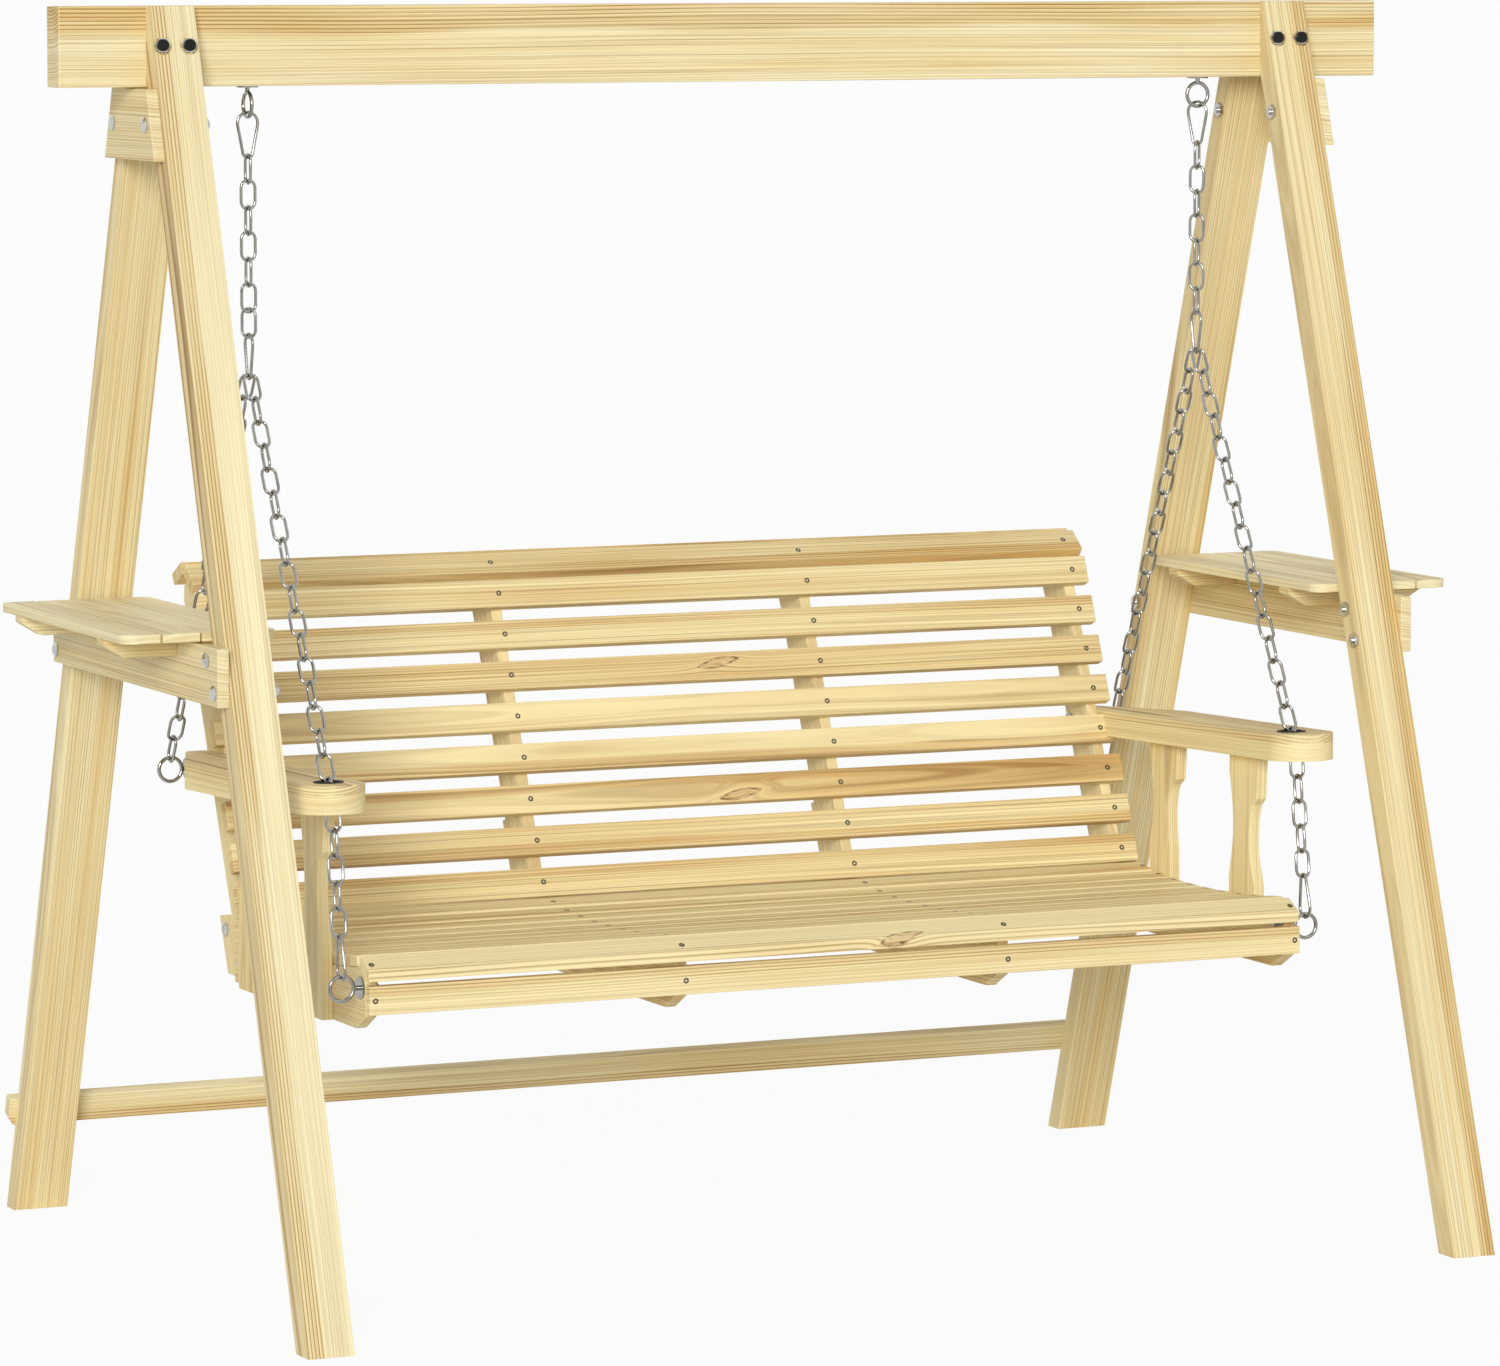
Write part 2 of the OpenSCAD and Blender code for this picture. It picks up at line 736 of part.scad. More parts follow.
module front_chains() {
    color(steel) on_sides() {
        translate([hang_x, -start_y, start_z]) rotate([-front_angle, 0, 0])
            chain(front_links, pitch, 0);
        translate([hang_x, -bend_y, bend_z]) rotate([-drop_angle, 0, 0])
            chain(drop_links, pitch, 0);
    }
}

module rear_chains() {
    color(steel) on_sides()
        translate([hang_x, start_y, start_z]) rotate([rear_angle, -rear_side, 0])
            chain(rear_links, rear_pitch, 0);
}

module bottom_hooks() {
    color(steel) on_sides()
        translate([hang_x, -bend_y, bend_z]) rotate([-drop_angle, 0, 0])
            translate([0, 0, -drop_len]) rotate([180, 0, 90]) pear_hook();
}

// An eye bolt whose shank runs inward along -X through a board, with washer and nut
module side_eye_bolt(x, y, z, face, grip) {
    neck = x - eye_r - face;
    translate([x, y, z]) eye_ring();
    x_hole(y, z, shank_d, face - grip - 9, face + neck);
    x_hole(y, z, washer_d, face, face + washer_t);
    x_hole(y, z, washer_d, face - grip - washer_t, face - grip);
    translate([face - grip - washer_t, y, z]) rotate([0, -90, 0])
        cylinder(d = 11.5, h = 5, $fn = 6);
}

module front_eye_bolts() {
    color(steel) on_sides()
        side_eye_bolt(hang_x, -ring_front_y, ring_front_mid, frame_x, board_t);
}

module rear_eye_bolts() {
    color(steel) on_sides()
        side_eye_bolt(hang_x + ring_rear_x, ring_rear_y, ring_rear_mid,
            rear_spot_x, rear_spot_x - upright_x);
}

// ---- Arms ----

rear_spot_x = arm_in + arm_tail_w - 1;

module arm_outline() {
    r = arm_w / 2;
    translate([arm_in + r, r - arm_front]) circle(r = r, $fn = 96);
    polygon([
        [arm_in, r - arm_front],
        [arm_out, r - arm_front],
        [arm_out, arm_taper_y],
        [arm_in + arm_tail_w + 5, arm_rear - 24],
        [arm_in + arm_tail_w, arm_rear - 8],
        [arm_in + arm_tail_w - 8, arm_rear],
        [arm_in, arm_rear]
    ]);
}

// The leaning bore through the arm that the front chain runs down
module chain_hole(d) {
    translate([hang_x, -grommet_y, arm_front_z]) rotate([-hole_lean, 0, 0])
        translate([0, 0, -2 * arm_t]) cylinder(d = d, h = 4 * arm_t);
}

module in_arm_plane() {
    translate([0, -grommet_y, arm_front_z]) rotate([arm_tilt, 0, 0])
        translate([0, grommet_y, 0]) children();
}

module arm() {
    difference() {
        in_arm_plane() translate([0, 0, -arm_t]) linear_extrude(arm_t) arm_outline();
        chain_hole(grommet_bore + 3);
        x_hole(ring_rear_y, ring_rear_mid, shank_d + bolt_gap, 0, 2 * arm_out);
        x_hole(ring_rear_y, ring_rear_mid, washer_d + 2, rear_spot_x, 2 * arm_out);
        for (i = [0:back_n - 1]) back_slat(i, notch_gap);
    }
}

module right_arm() color(pine) arm();
module left_arm() color(pine) on_left() arm();

module grommet() {
    difference() {
        union() {
            in_arm_plane() translate([hang_x, -grommet_y, 0])
                cylinder(d = grommet_d, h = grommet_rim);
            intersection() {
                chain_hole(grommet_bore + 2.8);
                in_arm_plane() translate([hang_x, -grommet_y, -14])
                    cylinder(d = 2 * grommet_d, h = 14 + grommet_rim / 2);
            }
        }
        chain_hole(grommet_bore);
    }
}

module arm_grommets() color(black) on_sides() grommet();

// A post is a board with a block at its head and foot and a scooped waist between them.
// t runs down the waist from 0 to 1; deep and step are how far the scoop and the foot stand back.
function waist_front(t, deep, step) = t < 0.5
    ? post_taper + (deep - post_taper) * sin(90 * pow(2 * t, 0.55))
    : deep - (deep - step) * (1 - cos(180 * (t - 0.5)));
function waist_rear(t) = scoop_rear * pow((1 - cos(360 * t)) / 2, 0.6);

module post_profile(front, head, foot, deep, step) {
    rear = front + post_w;
    high = arm_under(front) - head;
    fall = high - seat_z - foot;
    polygon(concat(
        [[front + step, seat_z]],
        [for (i = [12:-1:0])
            [front + waist_front(i / 12, deep, step), high - fall * i / 12]],
        [[front, arm_under(front)], [rear, arm_under(rear)]],
        [for (i = [0:12]) [rear - waist_rear(i / 12), high + fall * (0.26 - 1.22 * i / 12)]],
        [[rear, seat_z]]
    ));
}

module front_post() board(frame_x, board_t)
    post_profile(-front_post_y, post_head, post_foot, scoop_front, post_step);

module rear_post() board(frame_x, board_t)
    post_profile(-rear_post_y, rear_post_head, rear_post_foot, rear_scoop_front, rear_post_step);

module front_right_post() color(pine) front_post();
module front_left_post() color(pine) on_left() front_post();
module rear_right_post() color(pine) rear_post();
module rear_left_post() color(pine) on_left() rear_post();

// ---- Seat ----

// Upper edge of a support: the nose behind the lip, then a seat for each slat
bevel_set_back = 12;
bevel_low = [-nose_y - bevel_set_back, lip_top + lip_gap];
bevel_front = bevel_low + [0, bevel_t / cos(lip_slope)];
bevel_top = bevel_front + bevel_w * [cos(lip_slope), sin(lip_slope)];
bevel_back = bevel_top + bevel_t * [sin(lip_slope), -cos(lip_slope)];

function support_top() = concat(
    [
        [-nose_y, seat_z + 18.5],
        [-nose_y, bevel_low[1] + bevel_set_back * tan(lip_slope)],
        bevel_back
    ],
    [for (i = [0:seat_n - 1], s = [-1, 1]) slat_low(i, s * seat_slat_w / 2)]
);

module outer_support() {
    last = slat_low(seat_n - 1, seat_slat_w / 2);
    difference() {
        board(frame_x - board_t, board_t)
            polygon(concat(support_top(), [
                [last[0] + 3, last[1]],
                [last[0] + 3, seat_z + stop_h],
                [support_end, seat_z + stop_h],
                [support_end, seat_z],
                [-nose_y + 34, seat_z]
            ]));
        bench_bolt_cuts();
        x_hole(-ring_front_y, ring_front_mid, shank_d + bolt_gap, 0, hang_x);
    }
}

module inner_support() {
    last = slat_low(seat_n - 1, seat_slat_w / 2);
    difference() {
        board(inner_x, board_t)
            polygon(concat(support_top(), [
                [back_edge(last[1]), last[1]],
                [back_edge(seat_z), seat_z],
                [-nose_y + 34, seat_z]
            ]));
        bench_bolt_cuts();
    }
}

module right_seat_support() color(pine) outer_support();
module left_seat_support() color(pine) on_left() outer_support();
module inner_right_seat_support() color(pine) inner_support();
module inner_left_seat_support() color(pine) on_left() inner_support();

module seat_slats() {
    color(pine) for (i = [0:seat_n - 1])
        translate([-bench_w / 2, slat_y(i), dish(slat_y(i))]) rotate([slat_tilt(i), 0, 0])
            translate([0, -seat_slat_w / 2, -board_t]) cube([bench_w, seat_slat_w, board_t]);
}

// The slat above the lip slopes forward; its front edge is cut plumb.
module bevel_slat() color(pine) board(-bench_w / 2, bench_w)
    polygon([bevel_low, bevel_front, bevel_top, bevel_back]);

module lip_slat() {
    color(pine) translate([-bench_w / 2, -nose_y - board_t, lip_top - lip_w])
        cube([bench_w, board_t, lip_w]);
}

// ---- Back ----

foot_y = back_edge(seat_z);
plate_front = foot_y - 60;
outer_bolts = [[foot_y + 15, seat_z + 26], [foot_y + plate_len - 20, seat_z + plate_h - 10]];
inner_bolts = [[plate_front + 18, seat_z + 32], [foot_y + 45, seat_z + 34]];

module bench_bolt_cuts() {
    for (p = outer_bolts) x_hole(p[0], p[1], hole_d, upright_x - 2 * board_t, bench_w);
    for (p = inner_bolts) x_hole(p[0], p[1], hole_d, 0, inner_x + 2 * board_t);
}

// An upright above its foot: the straight rear edge, the ledge, and the two slants of the head
module upright_profile(foot) {
    bend = ledge[1] - 65;
    polygon(concat(foot, [
        [back_edge(bend) + upright_w / cos(back_lean), bend],
        [ledge[0], ledge[1] - ledge_drop],
        ledge,
        shoulder_top,
        shoulder_low
    ]));
}

module outer_upright() {
    low = seat_z + 1;
    step = seat_z + 60;
    difference() {
        board(upright_x, board_t) upright_profile([
            [back_edge(step), step],
            [back_edge(seat_z), step],
            [back_edge(seat_z), low],
            [back_edge(seat_z) + 111, low],
            [back_edge(seat_z) + 140, seat_z + 73],
            [back_edge(seat_z) + 96, seat_z + 79]
        ]);
        bench_bolt_cuts();
        x_hole(ring_rear_y, ring_rear_mid, shank_d + bolt_gap, 0, arm_out);
    }
}

module inner_upright() {
    low = seat_z + 1;
    step = seat_z + 175;
    wide = upright_w / cos(back_lean);
    difference() {
        board(inner_x, board_t) upright_profile([
            [back_edge(low), low],
            [back_edge(low) + wide + 9, low],
            [back_edge(step) + wide + 9, step],
            [back_edge(step) + wide, step + 2]
        ]);
        bench_bolt_cuts();
    }
}

module right_upright() color(pine) outer_upright();
module left_upright() color(pine) on_left() outer_upright();
module inner_right_upright() color(pine) inner_upright();
module inner_left_upright() color(pine) on_left() inner_upright();

// Plates on the inner faces that tie each upright to its support
module joint_plates() {
    low = seat_z + 4;
    lean = plate_h * 0.38;
    color(pine_end) difference() {
        on_sides() {
            board(upright_x - board_t, board_t)
                polygon([
                    [foot_y, low],
                    [foot_y + plate_len - lean, low],
                    [foot_y + plate_len, low + plate_h],
                    [foot_y + lean, low + plate_h],
                    [foot_y, low + plate_h - lean]
                ]);
            translate([inner_x - board_t, plate_front, low])
                cube([board_t, plate_len - 4, plate_h - 10]);
        }
        on_sides() bench_bolt_cuts();
    }
}

module back_slat(i, gap) {
    mid = on_back(back_first + i * back_pitch, 0);
    translate([-bench_w / 2 - gap, mid[0], mid[1]]) rotate([-back_lean, 0, 0])
        translate([0, -back_slat_t - gap, -back_slat_w / 2 - gap])
            cube([bench_w + 2 * gap, back_slat_t + 2 * gap, back_slat_w + 2 * gap]);
}

module back_slats() color(pine) for (i = [0:back_n - 1]) back_slat(i, 0);

module shoulder_slat() {
    color(pine) translate([-bench_w / 2, shoulder_low[0], shoulder_low[1]])
        rotate([-shoulder_slope, 0, 0]) translate([0, -back_slat_t, 0])
            cube([bench_w, back_slat_t, back_slat_w]);
}

module roll_slat() {
    color(pine) translate([-bench_w / 2, shoulder_top[0], shoulder_top[1]])
        rotate([-roll_slope, 0, 0]) cube([bench_w, back_slat_w, back_slat_t]);
}

module bench_bolts() {
    color(steel) on_sides() {
        for (p = outer_bolts)
            translate([p[0] < support_end ? frame_x : frame_x - board_t, p[0], p[1]])
                rotate([0, -90, 0])
                    round_bolt(p[0] < support_end ? 3 * board_t : 2 * board_t);
        for (p = inner_bolts)
            translate([inner_x + board_t, p[0], p[1]]) rotate([0, -90, 0])
                round_bolt(2 * board_t);
    }
}

top_beam();
front_left_leg();
front_right_leg();
rear_left_leg();
rear_right_leg();
left_gusset();
right_gusset();
left_side_rail();
right_side_rail();
left_tray_boards();
right_tray_boards();
left_tray_cleats();
right_tray_cleats();
rear_stretcher();
beam_bolts();
beam_bolt_caps();
gusset_bolts();
rail_bolts();
beam_eyes();
upper_hooks();
hanging_chains();
lower_hooks();
front_chains();
rear_chains();
bottom_hooks();
front_eye_bolts();
rear_eye_bolts();
arm_grommets();
left_arm();
right_arm();
front_left_post();
front_right_post();
rear_left_post();
rear_right_post();
left_seat_support();
inner_left_seat_support();
inner_right_seat_support();
right_seat_support();
left_upright();
inner_left_upright();
inner_right_upright();
right_upright();
joint_plates();
seat_slats();
bevel_slat();
lip_slat();
back_slats();
shoulder_slat();
roll_slat();
bench_bolts();
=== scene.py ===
import json
import math
import random

import bmesh
import bpy
import numpy as np
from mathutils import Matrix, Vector


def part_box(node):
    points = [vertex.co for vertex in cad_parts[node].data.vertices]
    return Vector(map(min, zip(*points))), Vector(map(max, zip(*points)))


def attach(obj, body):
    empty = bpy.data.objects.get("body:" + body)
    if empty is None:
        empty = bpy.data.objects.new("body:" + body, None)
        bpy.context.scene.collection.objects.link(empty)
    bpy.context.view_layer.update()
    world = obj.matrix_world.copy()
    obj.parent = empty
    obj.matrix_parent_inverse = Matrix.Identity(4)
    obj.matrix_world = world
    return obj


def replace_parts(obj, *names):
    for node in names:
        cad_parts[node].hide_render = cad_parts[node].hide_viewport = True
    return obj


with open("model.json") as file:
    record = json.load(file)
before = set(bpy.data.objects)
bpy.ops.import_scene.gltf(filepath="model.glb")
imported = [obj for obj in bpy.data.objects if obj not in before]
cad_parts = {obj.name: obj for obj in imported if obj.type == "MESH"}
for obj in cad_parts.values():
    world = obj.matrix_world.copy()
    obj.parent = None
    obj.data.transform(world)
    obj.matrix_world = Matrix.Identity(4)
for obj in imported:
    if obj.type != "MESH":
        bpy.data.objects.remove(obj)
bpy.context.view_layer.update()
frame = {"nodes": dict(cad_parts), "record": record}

node_body = {n: b for b, ns in frame["record"]["behaviour"]["bodies"].items() for n in ns}
node_slot = {s["node"]: s["material_slot"] for s in frame["record"]["subparts"]}
scene = bpy.context.scene

# Lengths are in metres: X runs along the beam, Y to the back and Z up.

# How far the long edges are eased: worn seat slats most, the stand's stout boards less, all others least
SEAT_EASE, STAND_EASE, BOARD_EASE = 0.0035, 0.0016, 0.0012

# How tan each board is, from palest cream below 0 to deep honey at 1. A set goes from its lowest or
# front board up or back, and a board without a tone of its own draws one.
# The right arm, the front right post and the bevel slat are paler partly for their own tone and partly as
# painted light for the stronger light on their faces.
TONES = {
    "top_beam": (0.3,), "front_left_leg": (-0.2,), "front_right_leg": (0.45,), "rear_left_leg": (0.55,),
    "rear_right_leg": (0.6,), "left_side_rail": (0.2,), "left_tray_boards": (0.1, 0.0, 0.2, 0.1),
    "right_tray_boards": (-0.1, -0.2, 0.0, -0.1), "left_arm": (-0.2,), "right_arm": (-0.5,),
    "front_left_post": (0.0,), "front_right_post": (-0.5,), "lip_slat": (-0.1,), "bevel_slat": (-0.9,),
    "seat_slats": (0.1, 0.2, 0.05, 0.25, 0.1, 0.0, 0.2, 0.05, 0.0), "shoulder_slat": (0.5,),
    "back_slats": (0.45, 0.3, 0.6, 0.25, 0.15, 0.7, 0.2, 0.3, 0.9)}

# Where the spike knots sit, and the side of a board on which its ring lines are strong
KNOTS = {"back_slats": [(0.0755, 0.1552, 0.5520), (0.0745, 0.2247, 0.7202)],
         "bevel_slat": [(0.077, -0.331, 0.4170)]}
LINES = {"top_beam": (0, 0, 1), "front_left_leg": (-1, 0, 0), "front_right_leg": (1, 0, 0),
         "left_arm": (0, 0, 1), "right_arm": (0, 0, 1), "bevel_slat": (0, -1, -0.5), "lip_slat": (0, 0, 1)}

# Boards with little figure, and boards whose rings lie flat in their thickness
CALM = ("rear_left_leg", "rear_right_leg", "rail", "gusset", "post", "upright", "tray")
LAYERED = ("arm", "tray", "post")


# ---- Nodes and colours ----

MATH, MIX, NOISE = "ShaderNodeMath", "ShaderNodeMix", "ShaderNodeTexNoise"
RANGE, VECTOR, ATTRIBUTE = "ShaderNodeMapRange", "ShaderNodeVectorMath", "ShaderNodeAttribute"
SPLIT, JOIN, PLACE = "ShaderNodeSeparateXYZ", "ShaderNodeCombineXYZ", "ShaderNodeTexCoord"


def linear(code):
    """A colour written as sRGB hex, as the linear RGBA that a socket takes."""
    out = []
    for i in (1, 3, 5):
        c = int(code[i:i + 2], 16) / 255
        out.append(c / 12.92 if c <= 0.04045 else ((c + 0.055) / 1.055) ** 2.4)
    return (*out, 1.0)


def add(tree, kind, inputs=None, **settings):
    """Adds one node. inputs maps a socket's name or number to a value, to another node's output, or to
    a node for its first output. A Mix takes numbers at 2 and 3, or colours at 6 and 7 and gives at 2."""
    node = tree.nodes.new(kind)
    for key, value in settings.items():
        setattr(node, key, value)
    for key, value in (inputs or {}).items():
        if isinstance(value, bpy.types.Node):
            value = value.outputs[0]
        if isinstance(value, bpy.types.NodeSocket):
            tree.links.new(value, node.inputs[key])
        else:
            node.inputs[key].default_value = value
    return node


def new_material(name):
    """A new material with its tree and its shader."""
    mat = bpy.data.materials.new(name)
    mat.use_nodes = True
    tree = mat.node_tree
    return mat, tree, tree.nodes["Principled BSDF"]


# ---- Materials ----

def planed_pine(name, cream, tan, line, ring_mm, boldness):
    """Planed pine under a thin clear coat. Its growth rings are ring_mm apart and stand out near the
    heart side of a board; elsewhere the grain is fine and straight. The eye sees cream boards with
    honey lines, a few spike knots and a low satin sheen."""
    mat, tree, shader = new_material(name)
    grain = add(tree, ATTRIBUTE, attribute_name="grain").outputs["Vector"]
    board = add(tree, ATTRIBUTE, attribute_name="board").outputs["Vector"]
    heartwards, tone, sanded = add(tree, SPLIT, {0: board}).outputs

    # Distance from the heart of the tree, which wanders by a few millimetres along the board
    wander = add(tree, VECTOR, {0: grain, 1: (1.2, 8, 8)}, operation="MULTIPLY")
    wander = add(tree, NOISE, {"Vector": wander, "Scale": 1.0, "Detail": 1.5})
    wander = add(tree, MATH, {0: wander, 1: 0.5}, operation="SUBTRACT")
    radius = add(tree, VECTOR, {0: grain, 1: (0, 1, 1)}, operation="MULTIPLY")
    radius = add(tree, VECTOR, {0: radius}, operation="LENGTH").outputs["Value"]
    radius = add(tree, MATH, {0: wander, 1: 0.011, 2: radius}, operation="MULTIPLY_ADD")

    # Spike knots: almonds 60 mm long and 12 mm wide, a little aslant; the rings swell round them by 9 mm
    fray = add(tree, VECTOR, {0: grain, 1: (60, 260, 260)}, operation="MULTIPLY")
    fray = add(tree, NOISE, {"Vector": fray, "Scale": 1.0, "Detail": 2.0})
    fray = add(tree, MATH, {0: fray, 1: 0.5}, operation="SUBTRACT")
    half_length, half_width, slant, swelling = 0.03, 0.006, 0.17, 0.009
    rims, cores = 0.0, 0.0
    for which in ("knot_a", "knot_b"):
        knot = add(tree, ATTRIBUTE, attribute_name=which).outputs["Vector"]
        along, across, _ = add(tree, SPLIT, {0: knot}).outputs
        rise = add(tree, MATH, {0: along, 1: -slant, 2: across}, operation="MULTIPLY_ADD")
        rise = add(tree, MATH, {0: rise}, operation="ABSOLUTE")
        rise = add(tree, MATH, {0: rise, 1: half_width}, operation="DIVIDE")
        run = add(tree, MATH, {0: along, 1: half_length}, operation="DIVIDE")
        run = add(tree, MATH, {0: run, 1: 2.0}, operation="POWER")
        away = add(tree, MATH, {0: rise, 1: run}, operation="ADD")
        swell = add(tree, MATH, {0: away, 1: -0.7}, operation="MULTIPLY")
        swell = add(tree, MATH, {0: swell}, operation="EXPONENT")
        radius = add(tree, MATH, {0: swell, 1: swelling, 2: radius}, operation="MULTIPLY_ADD")
        edge = add(tree, MATH, {0: fray, 1: 0.7, 2: away}, operation="MULTIPLY_ADD")
        off_rim = add(tree, MATH, {0: edge, 1: 1.0}, operation="SUBTRACT")
        off_rim = add(tree, MATH, {0: off_rim}, operation="ABSOLUTE")
        rim = add(tree, RANGE, {"Value": off_rim, "From Min": 0.36, "From Max": 0.05},
                  interpolation_type="SMOOTHSTEP")
        rims = add(tree, MATH, {0: rims, 1: rim}, operation="ADD")
        core = add(tree, RANGE, {"Value": edge, "From Min": 1.1, "From Max": 0.8})
        cores = add(tree, MATH, {0: cores, 1: core}, operation="ADD")

    # Everything below runs along the rings: x along the board, y out from the heart
    flow = add(tree, JOIN, {0: add(tree, SPLIT, {0: grain}), 1: radius})
    broad = add(tree, VECTOR, {0: flow, 1: (0.9, 60, 1)}, operation="MULTIPLY")
    broad = add(tree, NOISE, {"Vector": broad, "Scale": 1.0, "Detail": 2.0})
    fine = add(tree, VECTOR, {0: flow, 1: (1.1, 560, 1)}, operation="MULTIPLY")
    fine = add(tree, NOISE, {"Vector": fine, "Scale": 1.0, "Detail": 3.0, "Roughness": 0.65})
    patchy = add(tree, VECTOR, {0: grain, 1: (2.2, 26, 26)}, operation="MULTIPLY")
    patchy = add(tree, NOISE, {"Vector": patchy, "Scale": 1.0, "Detail": 3.0})
    near_heart = add(tree, MATH, {0: patchy, 1: 0.25, 2: heartwards}, operation="MULTIPLY_ADD")
    near_heart = add(tree, RANGE, {"Value": near_heart, "From Min": 0.26, "From Max": 0.34},
                     interpolation_type="SMOOTHSTEP")

    # A ring darkens slowly through its summer wood and ends at once
    phase = add(tree, MATH, {0: radius, 1: ring_mm / 1000}, operation="DIVIDE")
    phase = add(tree, MATH, {0: phase}, operation="FRACT")
    ring = add(tree, "ShaderNodeFloatCurve", {"Value": phase})
    curve = ring.mapping.curves[0]
    for place, height in ((0.4, 0.03), (0.7, 0.35), (0.88, 1.0), (0.97, 0.4)):
        curve.points.new(place, height)
    curve.points[0].location = (0, 0)
    curve.points[-1].location = (1, 0)
    ring.mapping.update()

    # Cream to tan in broad streaks, more so near the heart
    warmth = add(tree, MATH, {0: broad, 1: 1.6, 2: -1.3}, operation="MULTIPLY_ADD")
    warmth = add(tree, MATH, {0: patchy, 1: 1.1, 2: warmth}, operation="MULTIPLY_ADD")
    warmth = add(tree, MATH, {0: tone, 1: 0.6, 2: warmth}, operation="MULTIPLY_ADD")
    warmth = add(tree, MATH, {0: near_heart, 1: 0.4, 2: warmth}, operation="MULTIPLY_ADD")
    warmth = add(tree, MATH, {0: warmth, 1: 0.0}, operation="MAXIMUM", use_clamp=True)
    base = add(tree, MIX, {0: warmth, 6: linear(cream), 7: linear(tan)}, data_type="RGBA").outputs[2]

    # The fine grain, fainter on pale boards
    streak = add(tree, MATH, {0: fine, 1: 2.6, 2: -1.12}, operation="MULTIPLY_ADD", use_clamp=True)
    depth = add(tree, RANGE, {"Value": tone, "From Min": -1.0, "To Min": 0.35, "To Max": 1.2})
    streak = add(tree, MATH, {0: streak, 1: depth}, operation="MULTIPLY")
    base = add(tree, MIX, {0: streak, 6: base, 7: linear(line)}, data_type="RGBA").outputs[2]

    # The ring lines, bold near the heart and broken up by the patches
    strength = add(tree, RANGE, {"Value": near_heart, "To Min": 0.09, "To Max": boldness})
    broken = add(tree, RANGE, {"Value": patchy, "From Min": 0.3, "From Max": 0.6, "To Min": 0.45})
    strength = add(tree, MATH, {0: strength, 1: broken}, operation="MULTIPLY")
    strength = add(tree, MATH, {0: ring, 1: strength}, operation="MULTIPLY")
    base = add(tree, MIX, {0: strength, 6: base, 7: linear(line)}, data_type="RGBA").outputs[2]

    # Painted highlight: the eased edges go toward cream, then the knots with their dark, broken rims
    base = add(tree, MIX, {0: sanded, 6: base, 7: linear(cream)}, data_type="RGBA").outputs[2]
    cores = add(tree, MATH, {0: cores, 1: 0.4}, operation="MULTIPLY")
    base = add(tree, MIX, {0: cores, 6: base, 7: linear("#CFA474")}, data_type="RGBA").outputs[2]
    rim = add(tree, MATH, {0: fray, 1: 4.0, 2: 0.6}, operation="MULTIPLY_ADD", use_clamp=True)
    rim = add(tree, MATH, {0: rims, 1: rim}, operation="MULTIPLY", use_clamp=True)
    base = add(tree, MIX, {0: rim, 6: base, 7: linear("#7A5430")}, data_type="RGBA").outputs[2]
    tree.links.new(base, shader.inputs["Base Color"])

    shader.inputs["Specular IOR Level"].default_value = 0.3
    rough = add(tree, MATH, {0: fine, 1: 0.25, 2: 0.5}, operation="MULTIPLY_ADD")
    tree.links.new(rough.outputs[0], shader.inputs["Roughness"])
    height = add(tree, MATH, {0: ring, 1: 0.4, 2: fine}, operation="MULTIPLY_ADD")
    bump = add(tree, "ShaderNodeBump", {"Height": height, "Strength": 0.3, "Distance": 0.0004})
    tree.links.new(bump.outputs[0], shader.inputs["Normal"])
    return mat


def zinc_plate(name, bright, dull, low, high):
    """Bright zinc plate on formed steel wire and bolts, with roughness from low to high. The eye sees a
    smooth grey metal, faintly clouded where the plating is thicker."""
    mat, tree, shader = new_material(name)
    place = add(tree, PLACE).outputs["Object"]
    cloud = add(tree, NOISE, {"Vector": place, "Scale": 60.0, "Detail": 2.0})
    base = add(tree, MIX, {0: cloud, 6: linear(dull), 7: linear(bright)}, data_type="RGBA").outputs[2]
    tree.links.new(base, shader.inputs["Base Color"])
    shader.inputs["Metallic"].default_value = 1.0
    rough = add(tree, MATH, {0: cloud, 1: high - low, 2: low}, operation="MULTIPLY_ADD")
    tree.links.new(rough.outputs[0], shader.inputs["Roughness"])
    return mat


def screw_steel(name):
    """Yellow-passivated steel screws with painted shade in the cross recess and a painted shadow of the
    countersink round the rim. The eye sees warm grey heads, dark where the painted shade is marked."""
    mat, tree, shader = new_material(name)
    place = add(tree, PLACE).outputs["Object"]
    cloud = add(tree, NOISE, {"Vector": place, "Scale": 500.0, "Detail": 2.0})
    bare = add(tree, MIX, {0: cloud, 6: linear("#655C4C"), 7: linear("#8F8672")}, data_type="RGBA").outputs[2]
    sunk = add(tree, ATTRIBUTE, attribute_name="sunk").outputs["Fac"]
    # Painted shade: the cross recess, and the rim as a painted shadow of the countersink, go dark brown and
    # less metallic
    base = add(tree, MIX, {0: sunk, 6: bare, 7: linear("#2E261C")}, data_type="RGBA").outputs[2]
    tree.links.new(base, shader.inputs["Base Color"])
    metal = add(tree, MATH, {0: 0.9, 1: sunk}, operation="SUBTRACT", use_clamp=True)
    tree.links.new(metal.outputs[0], shader.inputs["Metallic"])
    rough = add(tree, MATH, {0: cloud, 1: 0.2, 2: 0.25}, operation="MULTIPLY_ADD")
    rough = add(tree, MATH, {0: sunk, 1: 0.3, 2: rough}, operation="MULTIPLY_ADD")
    tree.links.new(rough.outputs[0], shader.inputs["Roughness"])
    return mat


